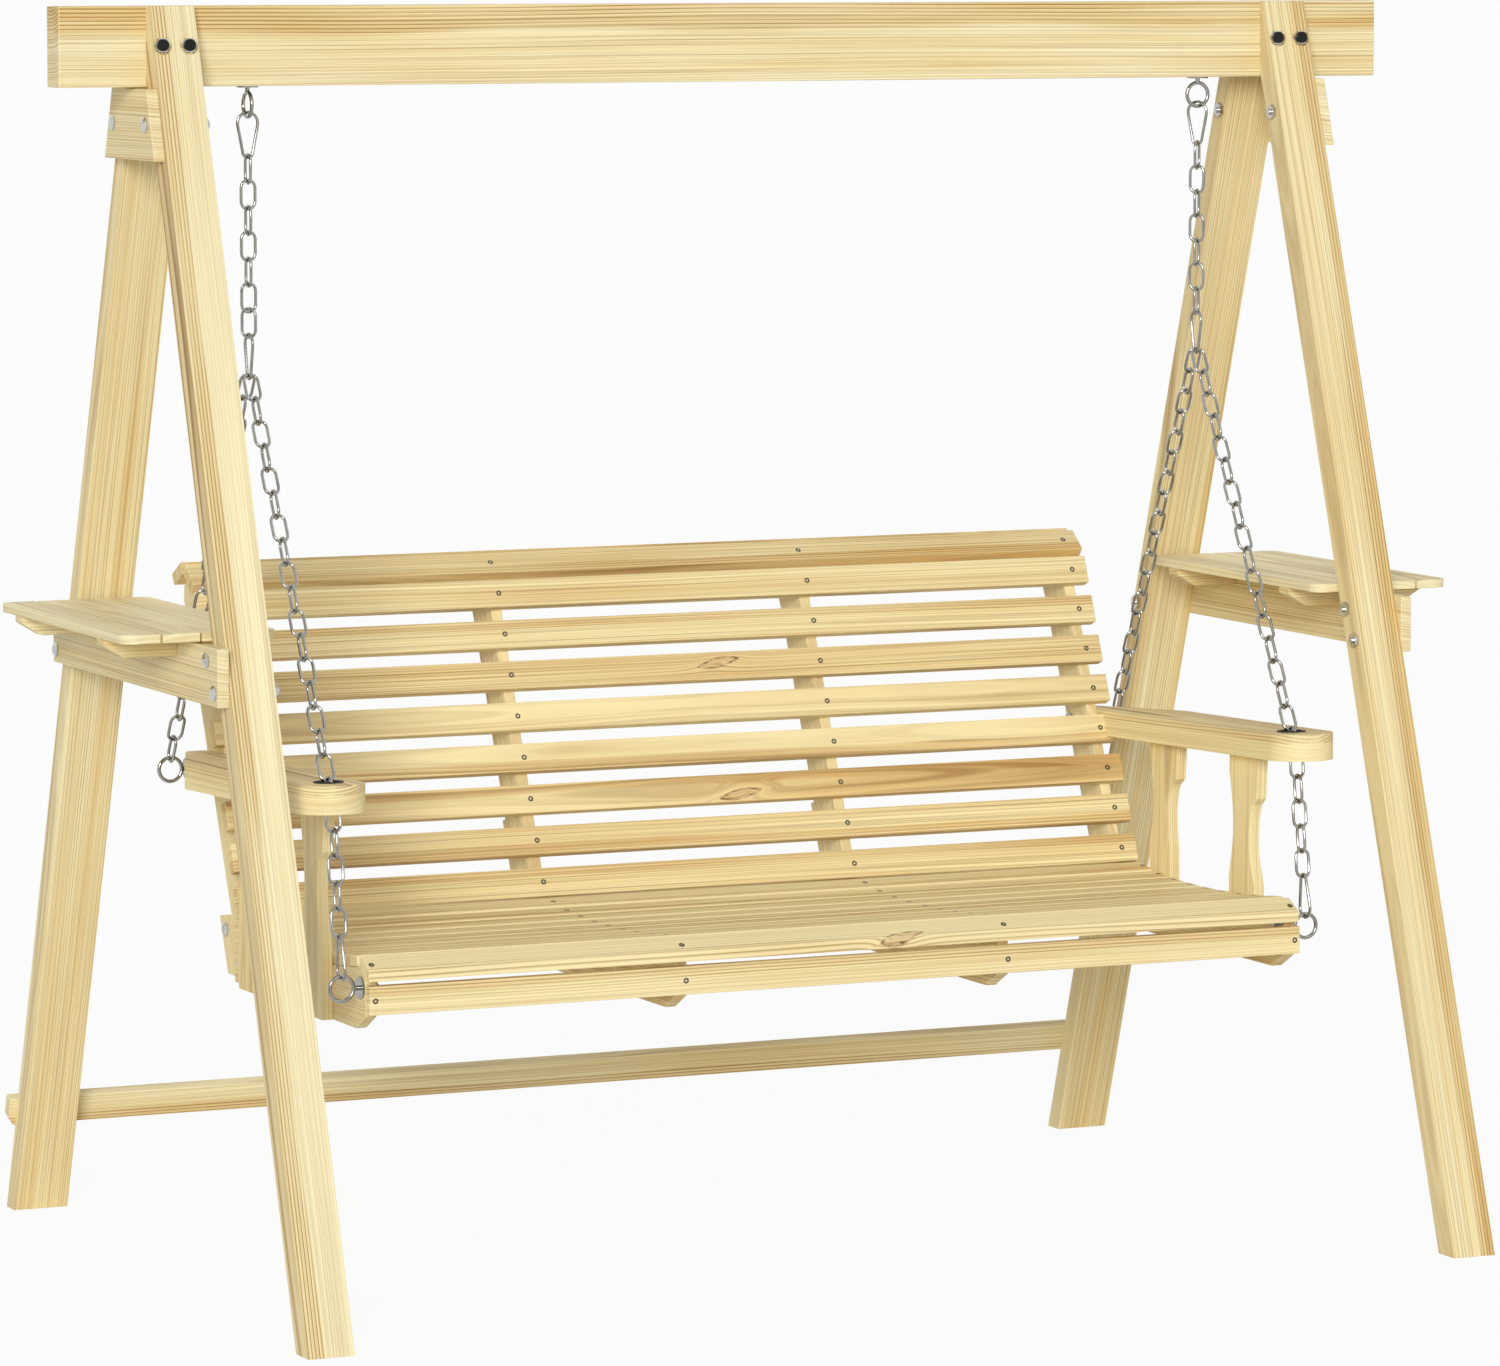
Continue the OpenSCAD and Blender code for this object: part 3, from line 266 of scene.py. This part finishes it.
def moulded_black(name, dark, light):
    """Moulded black polypropylene caps and grommets. The eye sees near black with an even fine grain
    and a dull sheen."""
    mat, tree, shader = new_material(name)
    place = add(tree, PLACE).outputs["Object"]
    speck = add(tree, NOISE, {"Vector": place, "Scale": 700.0, "Detail": 2.0})
    base = add(tree, MIX, {0: speck, 6: linear(dark), 7: linear(light)}, data_type="RGBA").outputs[2]
    tree.links.new(base, shader.inputs["Base Color"])
    shader.inputs["Specular IOR Level"].default_value = 0.25
    rough = add(tree, MATH, {0: speck, 1: 0.2, 2: 0.4}, operation="MULTIPLY_ADD")
    tree.links.new(rough.outputs[0], shader.inputs["Roughness"])
    bump = add(tree, "ShaderNodeBump", {"Height": speck, "Strength": 0.2, "Distance": 0.0003})
    tree.links.new(bump.outputs[0], shader.inputs["Normal"])
    return mat


# ---- The CAD solids as clean pieces ----

def solids_of(node):
    """The node's separate solids, each as (points, triangles)."""
    mesh = frame["nodes"][node].data
    mesh.calc_loop_triangles()
    points = np.empty(len(mesh.vertices) * 3)
    mesh.vertices.foreach_get("co", points)
    tri = np.empty(len(mesh.loop_triangles) * 3, int)
    mesh.loop_triangles.foreach_get("vertices", tri)

    # Corners that share a place become one point
    weld = 2e-6
    keys = np.round(points.reshape(-1, 3) / weld).astype(int)
    keys, index = np.unique(keys, axis=0, return_inverse=True)
    points = keys * weld
    tri = index.reshape(-1)[tri].reshape(-1, 3)

    # Each triangle hands the lowest label of its corners on, until every solid has a single label
    label = np.arange(len(points))
    while True:
        low = label[tri].min(axis=1)
        new = label.copy()
        np.minimum.at(new, tri.reshape(-1), np.repeat(low, 3))
        new = new[new]
        if (new == label).all():
            break
        label = new
    out = []
    for name in np.unique(label):
        mine = label[tri[:, 0]] == name
        used, local = np.unique(tri[mine], return_inverse=True)
        out.append((points[used], local.reshape(-1, 3)))
    return out


def axes_of(points, tri):
    """Middle, axes and extent of a closed solid, longest axis first, from its volume moments."""
    near = points.mean(axis=0)
    a, b, c = (points[tri[:, i]] - near for i in range(3))
    volume = np.einsum("ij,ij->i", a, np.cross(b, c)) / 6
    total = a + b + c
    centre = (volume[:, None] * total).sum(axis=0) / 4 / volume.sum()
    second = sum(np.einsum("i,ij,ik->jk", volume, p, p) for p in (a, b, c, total)) / 20
    second -= volume.sum() * np.outer(centre, centre)
    axes = np.linalg.eigh(second * np.sign(volume.sum()))[1][:, ::-1].T
    for i in (0, 1):
        if axes[i][np.abs(axes[i]).argmax()] < 0:
            axes[i] = -axes[i]
    axes[2] = np.cross(axes[0], axes[1])
    local = (points - near) @ axes.T
    low, high = local.min(axis=0), local.max(axis=0)
    return near + ((high + low) / 2) @ axes, axes, high - low


def new_piece(name, mesh, node, mat):
    """A visible piece with one material, on the body of its node."""
    piece = bpy.data.objects.new(name, mesh)
    scene.collection.objects.link(piece)
    mesh.materials.clear()
    mesh.materials.append(mat)
    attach(piece, node_body[node])
    return piece


def eased_board(points, tri, ease):
    """One board with its flat faces whole again and its long edges eased. A vertex layer is 1 along the
    middle of each eased edge, where the wood gets a painted highlight."""
    flat, sharp, long_edge = math.radians(0.7), math.radians(22), 0.009
    bm = bmesh.new()
    verts = [bm.verts.new(p) for p in points]
    for t in tri:
        try:
            bm.faces.new([verts[i] for i in t])
        except ValueError:
            # Welding folded this triangle flat, or made it the twin of another
            pass
    bmesh.ops.dissolve_limit(bm, angle_limit=flat, verts=bm.verts[:], edges=bm.edges[:],
                             use_dissolve_boundaries=False)
    bm.normal_update()
    edges = [e for e in bm.edges if len(e.link_faces) == 2 and e.calc_length() > long_edge
             and e.calc_face_angle(0) > sharp]
    made = bmesh.ops.bevel(bm, geom=edges, offset=ease, segments=2, profile=0.5, affect="EDGES",
                           clamp_overlap=True)
    rounding = set(made["faces"])
    # Marks the middle of each eased edge for a painted highlight
    sanded = bm.verts.layers.float.new("sanded")
    for v in bm.verts:
        v[sanded] = float(all(f in rounding for f in v.link_faces))
    bm.normal_update()
    return bm


def wooden(node, mat, ease, lines_towards, plain, flat_sawn, layered):
    """Copies a node of boards with eased edges. Each board carries its own grain: where the heart of the
    tree ran beside it, its tone and its knots. lines_towards says which side has the strong lines, plain
    and flat_sawn are the shares of boards without lines and of boards cut through broad arches, and
    layered turns the rings to lie flat in the board."""
    co, faces, grain, own, knot_a, knot_b = [], [], [], [], [], []
    far_off = np.array([9.0, 9.0, 0.0])
    tones = TONES.get(node, ())
    boards = sorted(solids_of(node), key=lambda board: board[0][:, 1:].sum(axis=1).mean())
    for number, (points, tri) in enumerate(boards):
        rng = random.Random(f"{node} {number}")
        middle, axes, extent = axes_of(points, tri)
        bm = eased_board(points, tri, ease)
        bm.verts.index_update()
        start = len(co)
        corners = np.array([v.co for v in bm.verts])
        # How strong the painted highlight on the eased edges is: full on the seat slats, weaker where the
        # ease is smaller
        highlight_share = [v[bm.verts.layers.float["sanded"]] * ease / SEAT_EASE for v in bm.verts]
        co.extend(corners.tolist())
        local = (corners - middle) @ axes.T

        # The heart of the tree ran beside the board, on this side of it; 0 is a board without strong lines
        across = 2 if layered else 1
        side = rng.choice((-1, 1))
        if lines_towards is not None:
            side = math.copysign(1, axes[across] @ np.array(lines_towards))
        elif rng.random() < plain:
            side = 0
        # Along the board, the grain starts at a place drawn by chance, so that no two boards match
        heart = np.array([rng.uniform(2, 9), 0.0, 0.0])
        heart[across] = -rng.uniform(0.1, 0.16) * (side or 1)
        heart[3 - across] = rng.uniform(-0.02, 0.02)
        if rng.random() < flat_sawn:
            heart[1:] = rng.uniform(-0.012, 0.012), rng.choice((-1, 1)) * rng.uniform(0.04, 0.07)
        grain.extend((local + heart).tolist())
        heartwards = local[:, across] / extent[across] * side - (0 if side else 1)
        tone = tones[number % len(tones)] if tones else rng.uniform(0.0, 0.8)
        own.extend([h, tone, r] for h, r in zip(heartwards, highlight_share))

        here = []
        for spot in KNOTS.get(node, ()):
            knot = (np.array(spot) - middle) @ axes.T
            if (np.abs(knot) <= extent / 2 + 0.006).all():
                here.append(knot)
        for n, into in ((0, knot_a), (1, knot_b)):
            knot = here[n] if len(here) > n else far_off
            into.extend((local - knot).tolist())
        faces.extend([start + v.index for v in f.verts] for f in bm.faces)
        bm.free()
    mesh = bpy.data.meshes.new(node + "_boards")
    mesh.from_pydata(co, [], faces)
    for name, values in (("grain", grain), ("board", own), ("knot_a", knot_a), ("knot_b", knot_b)):
        layer = mesh.attributes.new(name, "FLOAT_VECTOR", "POINT")
        layer.data.foreach_set("vector", np.array(values, float).reshape(-1))
    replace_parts(new_piece(node + "_wood", mesh, node, mat), node)


def turned(node, mat, suffix):
    """Copies a node of round parts, welded and shaded smooth up to their real edges."""
    co, faces = [], []
    for points, tri in solids_of(node):
        start = len(co)
        co.extend(points.tolist())
        faces.extend((tri + start).tolist())
    mesh = bpy.data.meshes.new(node + suffix)
    mesh.from_pydata(co, [], faces)
    mesh.shade_smooth()
    mesh.set_sharp_from_angle(angle=math.radians(32))
    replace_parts(new_piece(node + suffix, mesh, node, mat), node)


# ---- Geometry Nodes ----

def new_tree(name, sockets):
    """An empty Geometry Nodes tree with a Geometry input and output and the named inputs."""
    tree = bpy.data.node_groups.new(name, "GeometryNodeTree")
    tree.interface.new_socket("Geometry", in_out="OUTPUT", socket_type="NodeSocketGeometry")
    tree.interface.new_socket("Geometry", in_out="INPUT", socket_type="NodeSocketGeometry")
    for label, kind in sockets:
        tree.interface.new_socket(label, in_out="INPUT", socket_type=kind)
    return tree, add(tree, "NodeGroupInput").outputs, add(tree, "NodeGroupOutput")


def repeat_on_points(tree, given, pattern, result):
    """Ends a tree: the pattern stands at each point, with its Z along the attribute lengthwise and its X
    along crosswise, as real faces in the given finish."""
    length = add(tree, "GeometryNodeInputNamedAttribute", {"Name": "lengthwise"}, data_type="FLOAT_VECTOR")
    cross = add(tree, "GeometryNodeInputNamedAttribute", {"Name": "crosswise"}, data_type="FLOAT_VECTOR")
    turn = add(tree, "FunctionNodeAxesToRotation", {"Primary Axis": length, "Secondary Axis": cross},
               primary_axis="Z", secondary_axis="X")
    row = add(tree, "GeometryNodeInstanceOnPoints",
              {"Points": given["Geometry"], "Instance": pattern, "Rotation": turn})
    solid = add(tree, "GeometryNodeRealizeInstances", {"Geometry": row})
    solid = add(tree, "GeometryNodeSetMaterial", {"Geometry": solid, "Material": given["Finish"]})
    tree.links.new(solid.outputs[0], result.inputs[0])


def wire_loop_tree():
    """Closed loops of round wire: links when both ends are alike, pear hooks when they aren't."""
    tree, given, result = new_tree("wire_loops", (
        ("Wire", "NodeSocketFloat"), ("Length", "NodeSocketFloat"), ("Wide End", "NodeSocketFloat"),
        ("Narrow End", "NodeSocketFloat"), ("Steps", "NodeSocketInt"), ("Round Steps", "NodeSocketInt"),
        ("Finish", "NodeSocketMaterial")))
    wire, steps = given["Wire"], given["Steps"]

    # Along the middle of the wire: the radius of each bend, and half the loop's length
    wide = add(tree, MATH, {0: given["Wide End"], 1: wire}, operation="SUBTRACT")
    wide = add(tree, MATH, {0: wide, 1: 0.5}, operation="MULTIPLY")
    narrow = add(tree, MATH, {0: given["Narrow End"], 1: wire}, operation="SUBTRACT")
    narrow = add(tree, MATH, {0: narrow, 1: 0.5}, operation="MULTIPLY")
    half = add(tree, MATH, {0: given["Length"], 1: wire}, operation="SUBTRACT")
    half = add(tree, MATH, {0: half, 1: 0.5}, operation="MULTIPLY")

    # The straight sides lean in by this angle, so the wide bend turns by half a circle and twice the lean
    both = add(tree, MATH, {0: wide, 1: narrow}, operation="ADD")
    span = add(tree, MATH, {0: half, 1: 2.0}, operation="MULTIPLY")
    span = add(tree, MATH, {0: span, 1: both}, operation="SUBTRACT")
    lean = add(tree, MATH, {0: wide, 1: narrow}, operation="SUBTRACT")
    lean = add(tree, MATH, {0: lean, 1: span}, operation="DIVIDE")
    lean = add(tree, MATH, {0: lean}, operation="ARCSINE")

    # The first half of the points goes round the wide bend and the second half round the narrow one
    index = add(tree, "GeometryNodeInputIndex")
    last = add(tree, MATH, {0: steps, 1: 0.5}, operation="SUBTRACT")
    second = add(tree, MATH, {0: index, 1: last}, operation="GREATER_THAN")
    passed = add(tree, MATH, {0: second, 1: steps}, operation="MULTIPLY")
    part = add(tree, MATH, {0: index, 1: passed}, operation="SUBTRACT")
    gaps = add(tree, MATH, {0: steps, 1: 1.0}, operation="SUBTRACT")
    part = add(tree, MATH, {0: part, 1: gaps}, operation="DIVIDE")

    wide_from = add(tree, MATH, {0: lean, 1: -1.0}, operation="MULTIPLY")
    wide_by = add(tree, MATH, {0: lean, 1: 2.0, 2: math.pi}, operation="MULTIPLY_ADD")
    wide_turn = add(tree, MATH, {0: part, 1: wide_by, 2: wide_from}, operation="MULTIPLY_ADD")
    narrow_from = add(tree, MATH, {0: lean, 1: math.pi}, operation="ADD")
    narrow_by = add(tree, MATH, {0: lean, 1: -2.0, 2: math.pi}, operation="MULTIPLY_ADD")
    narrow_turn = add(tree, MATH, {0: part, 1: narrow_by, 2: narrow_from}, operation="MULTIPLY_ADD")
    wide_middle = add(tree, MATH, {0: half, 1: wide}, operation="SUBTRACT")
    narrow_middle = add(tree, MATH, {0: narrow, 1: half}, operation="SUBTRACT")

    turn = add(tree, MIX, {0: second, 2: wide_turn, 3: narrow_turn}, data_type="FLOAT")
    radius = add(tree, MIX, {0: second, 2: wide, 3: narrow}, data_type="FLOAT")
    middle = add(tree, MIX, {0: second, 2: wide_middle, 3: narrow_middle}, data_type="FLOAT")
    x = add(tree, MATH, {0: turn}, operation="COSINE")
    x = add(tree, MATH, {0: radius, 1: x}, operation="MULTIPLY")
    z = add(tree, MATH, {0: turn}, operation="SINE")
    z = add(tree, MATH, {0: radius, 1: z, 2: middle}, operation="MULTIPLY_ADD")
    spot = add(tree, JOIN, {0: x, 2: z})

    count = add(tree, MATH, {0: steps, 1: 2.0}, operation="MULTIPLY")
    path = add(tree, "GeometryNodeCurvePrimitiveCircle", {"Resolution": count, "Radius": 1.0}, mode="RADIUS")
    path = add(tree, "GeometryNodeSetPosition", {"Geometry": path, "Position": spot})
    thick = add(tree, MATH, {0: wire, 1: 0.5}, operation="MULTIPLY")
    section = add(tree, "GeometryNodeCurvePrimitiveCircle",
                  {"Resolution": given["Round Steps"], "Radius": thick}, mode="RADIUS")
    loop = add(tree, "GeometryNodeCurveToMesh", {"Curve": path, "Profile Curve": section})
    loop = add(tree, "GeometryNodeSetShadeSmooth", {"Geometry": loop})
    repeat_on_points(tree, given, loop, result)
    return tree


def screw_tree():
    """Countersunk screw heads, their tops just below the wood's face."""
    tree, given, result = new_tree("screw_heads", (
        ("Head", "NodeSocketObject"), ("Finish", "NodeSocketMaterial")))
    head = add(tree, "GeometryNodeObjectInfo", {"Object": given["Head"]}).outputs["Geometry"]
    repeat_on_points(tree, given, head, result)
    return tree


def grown(name, tree, places, values, node):
    """Runs the tree on points, given as (place, lengthwise, crosswise), and keeps its result as a plain
    mesh on the node's body."""
    seed = bpy.data.meshes.new(name + "_points")
    seed.from_pydata([p[0] for p in places], [], [])
    for label, column in (("lengthwise", 1), ("crosswise", 2)):
        layer = seed.attributes.new(label, "FLOAT_VECTOR", "POINT")
        layer.data.foreach_set("vector", np.array([p[column] for p in places], float).reshape(-1))
    carrier = bpy.data.objects.new(name + "_points", seed)
    scene.collection.objects.link(carrier)
    modifier = carrier.modifiers.new("grow", "NODES")
    modifier.node_group = tree
    for item in tree.interface.items_tree:
        if item.item_type == "SOCKET" and item.in_out == "INPUT" and item.name in values:
            modifier[item.identifier] = values[item.name]
    graph = bpy.context.evaluated_depsgraph_get()
    mesh = bpy.data.meshes.new_from_object(carrier.evaluated_get(graph), depsgraph=graph)
    mesh.name = name
    bpy.data.objects.remove(carrier)
    return new_piece(name, mesh, node, values["Finish"])


def wire_loops(tree, node, suffix, mat, steps, round_steps):
    """Every loop of the node as smooth round wire, where its solid is and as long and as wide."""
    end_share, pear_narrow_end = 0.18, 0.0172
    places, sizes = [], []
    for points, tri in solids_of(node):
        middle, axes, extent = axes_of(points, tri)
        local = (points - middle) @ axes.T
        ends = []
        for way in (1, -1):
            rows = local[:, 0] * way > extent[0] * end_share
            ends.append(2 * np.abs(local[rows, 1]).max())
        if ends[1] > ends[0]:
            axes = np.array([-axes[0], -axes[1], axes[2]])
            ends.reverse()
        places.append((middle, axes[0], axes[1]))
        sizes.append((extent[2], extent[0], ends[0], ends[1]))
    wire, length, wide, narrow = np.median(np.array(sizes), axis=0)
    # Near its narrow end a pear's straight sides still widen, so that end's own width is given
    narrow = wide if wide - narrow < 0.002 else pear_narrow_end
    values = {"Wire": wire, "Length": length, "Wide End": wide, "Narrow End": narrow, "Steps": steps,
              "Round Steps": round_steps, "Finish": mat}
    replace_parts(grown(node + suffix, tree, places, values, node), node)


def screw_head():
    """A countersunk head 7.2 mm across, driven a little below the face, as the pattern for the screw tree. A
    vertex attribute is 1 on its rim, as a painted shadow of the countersink, and on the floor of its cross
    recess, as painted shade, and 0 between them."""
    top, floor_depth, around = 0.00025, -0.0009, 24
    # Each ring's radius, height and painted shade; the outer rings carry the painted shadow of the
    # countersink
    profile = ((0.0036, -0.0012, 1.0), (0.0036, 0.00005, 1.0), (0.0025, 0.0001, 1.0), (0.0021, top, 0.0))
    bm = bmesh.new()
    sunk = bm.verts.layers.float.new("sunk")
    rings = []
    for radius, z, dark in profile:
        turns = [2 * math.pi * i / around for i in range(around)]
        rings.append([bm.verts.new((radius * math.cos(t), radius * math.sin(t), z)) for t in turns])
        for v in rings[-1]:
            v[sunk] = dark
    for a, b in zip(rings, rings[1:]):
        for i in range(around):
            j = (i + 1) % around
            bm.faces.new((a[i], a[j], b[j], b[i]))
    bm.faces.new(list(reversed(rings[0])))

    # The cross: its rim lies in the top, its floor is smaller and deeper
    arm, width = 0.0017, 0.0006
    plan = [(arm, -width), (arm, width), (width, width), (width, arm), (-width, arm), (-width, width),
            (-arm, width), (-arm, -width), (-width, -width), (-width, -arm), (width, -arm), (width, -width)]
    rim = [bm.verts.new((x, y, top)) for x, y in plan]
    floor = [bm.verts.new((x * 0.7, y * 0.7, floor_depth)) for x, y in plan]
    # The floor of the cross carries painted shade
    for v in floor:
        v[sunk] = 1.0
    inside = [bm.edges.new(pair) for pair in zip(rim, rim[1:] + rim[:1])]
    outside = [bm.edges.get(pair) for pair in zip(rings[-1], rings[-1][1:] + rings[-1][:1])]
    bmesh.ops.triangle_fill(bm, edges=inside + outside, use_beauty=True, normal=(0, 0, 1))
    for i in range(len(plan)):
        j = (i + 1) % len(plan)
        bm.faces.new((rim[i], rim[j], floor[j], floor[i]))
    bm.faces.new(floor)
    bmesh.ops.recalc_face_normals(bm, faces=bm.faces[:])
    mesh = bpy.data.meshes.new("screw_head")
    bm.to_mesh(mesh)
    bm.free()
    head = bpy.data.objects.new("screw_head", mesh)
    scene.collection.objects.link(head)
    return head


def screws_on(node, columns, towards):
    """Places for screws on each board of a node: in the middle of the face that looks the given way, at
    each column's X. Each cross is turned by chance."""
    towards = np.array(towards)
    places = []
    for number, (points, tri) in enumerate(solids_of(node)):
        middle, axes, extent = axes_of(points, tri)
        face = 1 if abs(axes[1] @ towards) > abs(axes[2] @ towards) else 2
        out = axes[face] * math.copysign(1, axes[face] @ towards)
        rng = random.Random(f"{node} screws {number}")
        for x in columns:
            spot = middle + out * extent[face] / 2
            spot[0] = x
            turn = rng.uniform(0, math.pi / 2)
            side = np.cross(out, axes[0])
            places.append((spot, out, axes[0] * math.cos(turn) + side * math.sin(turn)))
    return places


def side_of(node):
    """How far out from the middle of the beam the node stands."""
    low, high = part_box(node)
    return abs((low[0] + high[0]) / 2)


# ---- Camera and stage ----

def make_camera():
    """A long lens that looks from the front left and a little down."""
    data = bpy.data.cameras.new("camera")
    data.sensor_width = 36.0
    data.lens = 170.603
    data.shift_y = -0.10
    data.clip_end = 500.0
    cam = bpy.data.objects.new("camera", data)
    cam.location = (-3.774908, -8.346079, 1.688273)
    cam.rotation_euler = (math.radians(90 - 4.84028), 0, math.radians(-24.44356))
    scene.collection.objects.link(cam)
    scene.camera = cam


def shown(tree):
    """1 for a ray that shows something directly, in gloss or through glass, 0 for one that lights it."""
    rays = add(tree, "ShaderNodeLightPath").outputs
    seen = add(tree, MATH, {0: rays["Is Camera Ray"], 1: rays["Is Glossy Ray"]}, operation="MAXIMUM")
    return add(tree, MATH, {0: seen, 1: rays["Is Transmission Ray"]}, operation="MAXIMUM")


def make_stage():
    """A wide pale floor that keeps the shadow, a white surround and three soft lamps."""
    white, surround_light, wide, glow_share = (1, 1, 1, 1), 0.37, 300, 0.92
    mesh = bpy.data.meshes.new("floor")
    mesh.from_pydata([(-wide, -wide, 0), (wide, -wide, 0), (wide, wide, 0), (-wide, wide, 0)], [],
                     [(0, 1, 2, 3)])
    floor = bpy.data.objects.new("floor", mesh)
    scene.collection.objects.link(floor)
    mat, tree, shader = new_material("pale_painted_floor")
    shader.inputs["Base Color"].default_value = linear("#F1F1EF")
    shader.inputs["Roughness"].default_value = 0.85
    # The floor glows white where it is seen, and the rest of its own shade keeps the shadow
    glow = add(tree, "ShaderNodeEmission", {"Color": white, "Strength": 1.0})
    share = add(tree, MATH, {0: shown(tree), 1: glow_share}, operation="MULTIPLY")
    both = add(tree, "ShaderNodeMixShader", {0: share, 1: shader, 2: glow})
    tree.links.new(both.outputs[0], tree.nodes["Material Output"].inputs[0])
    mesh.materials.append(mat)

    # The surround lights the swing gently and is white where it is seen
    world = bpy.data.worlds.new("studio")
    scene.world = world
    world.use_nodes = True
    tree = world.node_tree
    soft = tree.nodes["Background"]
    soft.inputs["Color"].default_value = white
    soft.inputs["Strength"].default_value = surround_light
    plain = add(tree, "ShaderNodeBackground", {"Color": white, "Strength": 1.0})
    both = add(tree, "ShaderNodeMixShader", {0: shown(tree), 1: soft, 2: plain})
    tree.links.new(both.outputs[0], tree.nodes["World Output"].inputs[0])

    # Each lamp's strength, how wide its sky patch is in degrees, and the way its light travels
    for name, power, degrees, towards in (("key", 2.0, 22, (0.50, 0.82, -0.29)),
                                          ("fill", 0.2, 60, (-0.6, 0.6, -0.5)),
                                          ("back", 0.4, 60, (-0.3, -0.8, -0.5))):
        lamp = bpy.data.lights.new(name, "SUN")
        lamp.energy = power
        lamp.angle = math.radians(degrees)
        sun = bpy.data.objects.new(name, lamp)
        sun.rotation_euler = Vector(towards).to_track_quat("-Z", "Y").to_euler()
        scene.collection.objects.link(sun)


# ---- The swing ----

make_camera()
scene.view_settings.view_transform = "Standard"

pines = {"pine_stand": planed_pine("planed_pine_stand", "#F9EEC0", "#E9CA87", "#A0763C", 4.6, 1.0),
         "pine_bench": planed_pine("planed_pine_bench", "#F9E9B4", "#E3C07F", "#9C723A", 4.2, 0.7)}
zinc = zinc_plate("bright_zinc_plate", "#B4B4AF", "#7A7A77", 0.08, 0.18)
bolt_zinc = zinc_plate("turned_zinc_plate", "#DCDCD8", "#A3A39F", 0.1, 0.2)
screw_finish = screw_steel("passivated_screw_steel")
black = moulded_black("moulded_black_polypropylene", "#060606", "#121213")

for node, slot in node_slot.items():
    if slot in pines:
        stout = "leg" in node or "beam" in node
        ease = SEAT_EASE if node == "seat_slats" else STAND_EASE if stout else BOARD_EASE
        wooden(node, pines[slot], ease, lines_towards=LINES.get(node),
               plain=1.0 if any(word in node for word in CALM) else 0.4,
               flat_sawn=0.35 if "slats" in node else 0.0,
               layered=any(word in node for word in LAYERED))

loops = wire_loop_tree()
for node in ("hanging_chains", "front_chains", "rear_chains"):
    wire_loops(loops, node, "_links", zinc, steps=8, round_steps=12)
for node in ("upper_hooks", "lower_hooks", "bottom_hooks"):
    wire_loops(loops, node, "_loops", zinc, steps=12, round_steps=14)
for node in ("beam_eyes", "front_eye_bolts", "rear_eye_bolts"):
    turned(node, zinc, "_steel")
for node in ("beam_bolts", "gusset_bolts", "rail_bolts", "bench_bolts"):
    turned(node, bolt_zinc, "_steel")
for node in ("beam_bolt_caps", "arm_grommets"):
    turned(node, black, "_moulded")

head = screw_head()
inner = side_of("inner_right_seat_support")
outer = side_of("right_seat_support")
upright = side_of("right_upright")
seat_columns = (-outer, -inner, inner, outer)
back_columns = (-upright, -inner, inner, upright)
screw_places = []
for node, columns, towards in (("seat_slats", seat_columns, (0, 0, 1)),
                               ("bevel_slat", seat_columns, (0, -0.7, 0.7)),
                               ("lip_slat", seat_columns, (0, -1, 0)),
                               ("back_slats", back_columns, (0, -0.92, 0.38)),
                               ("shoulder_slat", back_columns, (0, -0.7, 0.7)),
                               ("roll_slat", back_columns, (0, 0, 1))):
    screw_places += screws_on(node, columns, towards)
grown("bench_screws", screw_tree(), screw_places, {"Head": head, "Finish": screw_finish}, "seat_slats")
bpy.data.objects.remove(head)

make_stage()
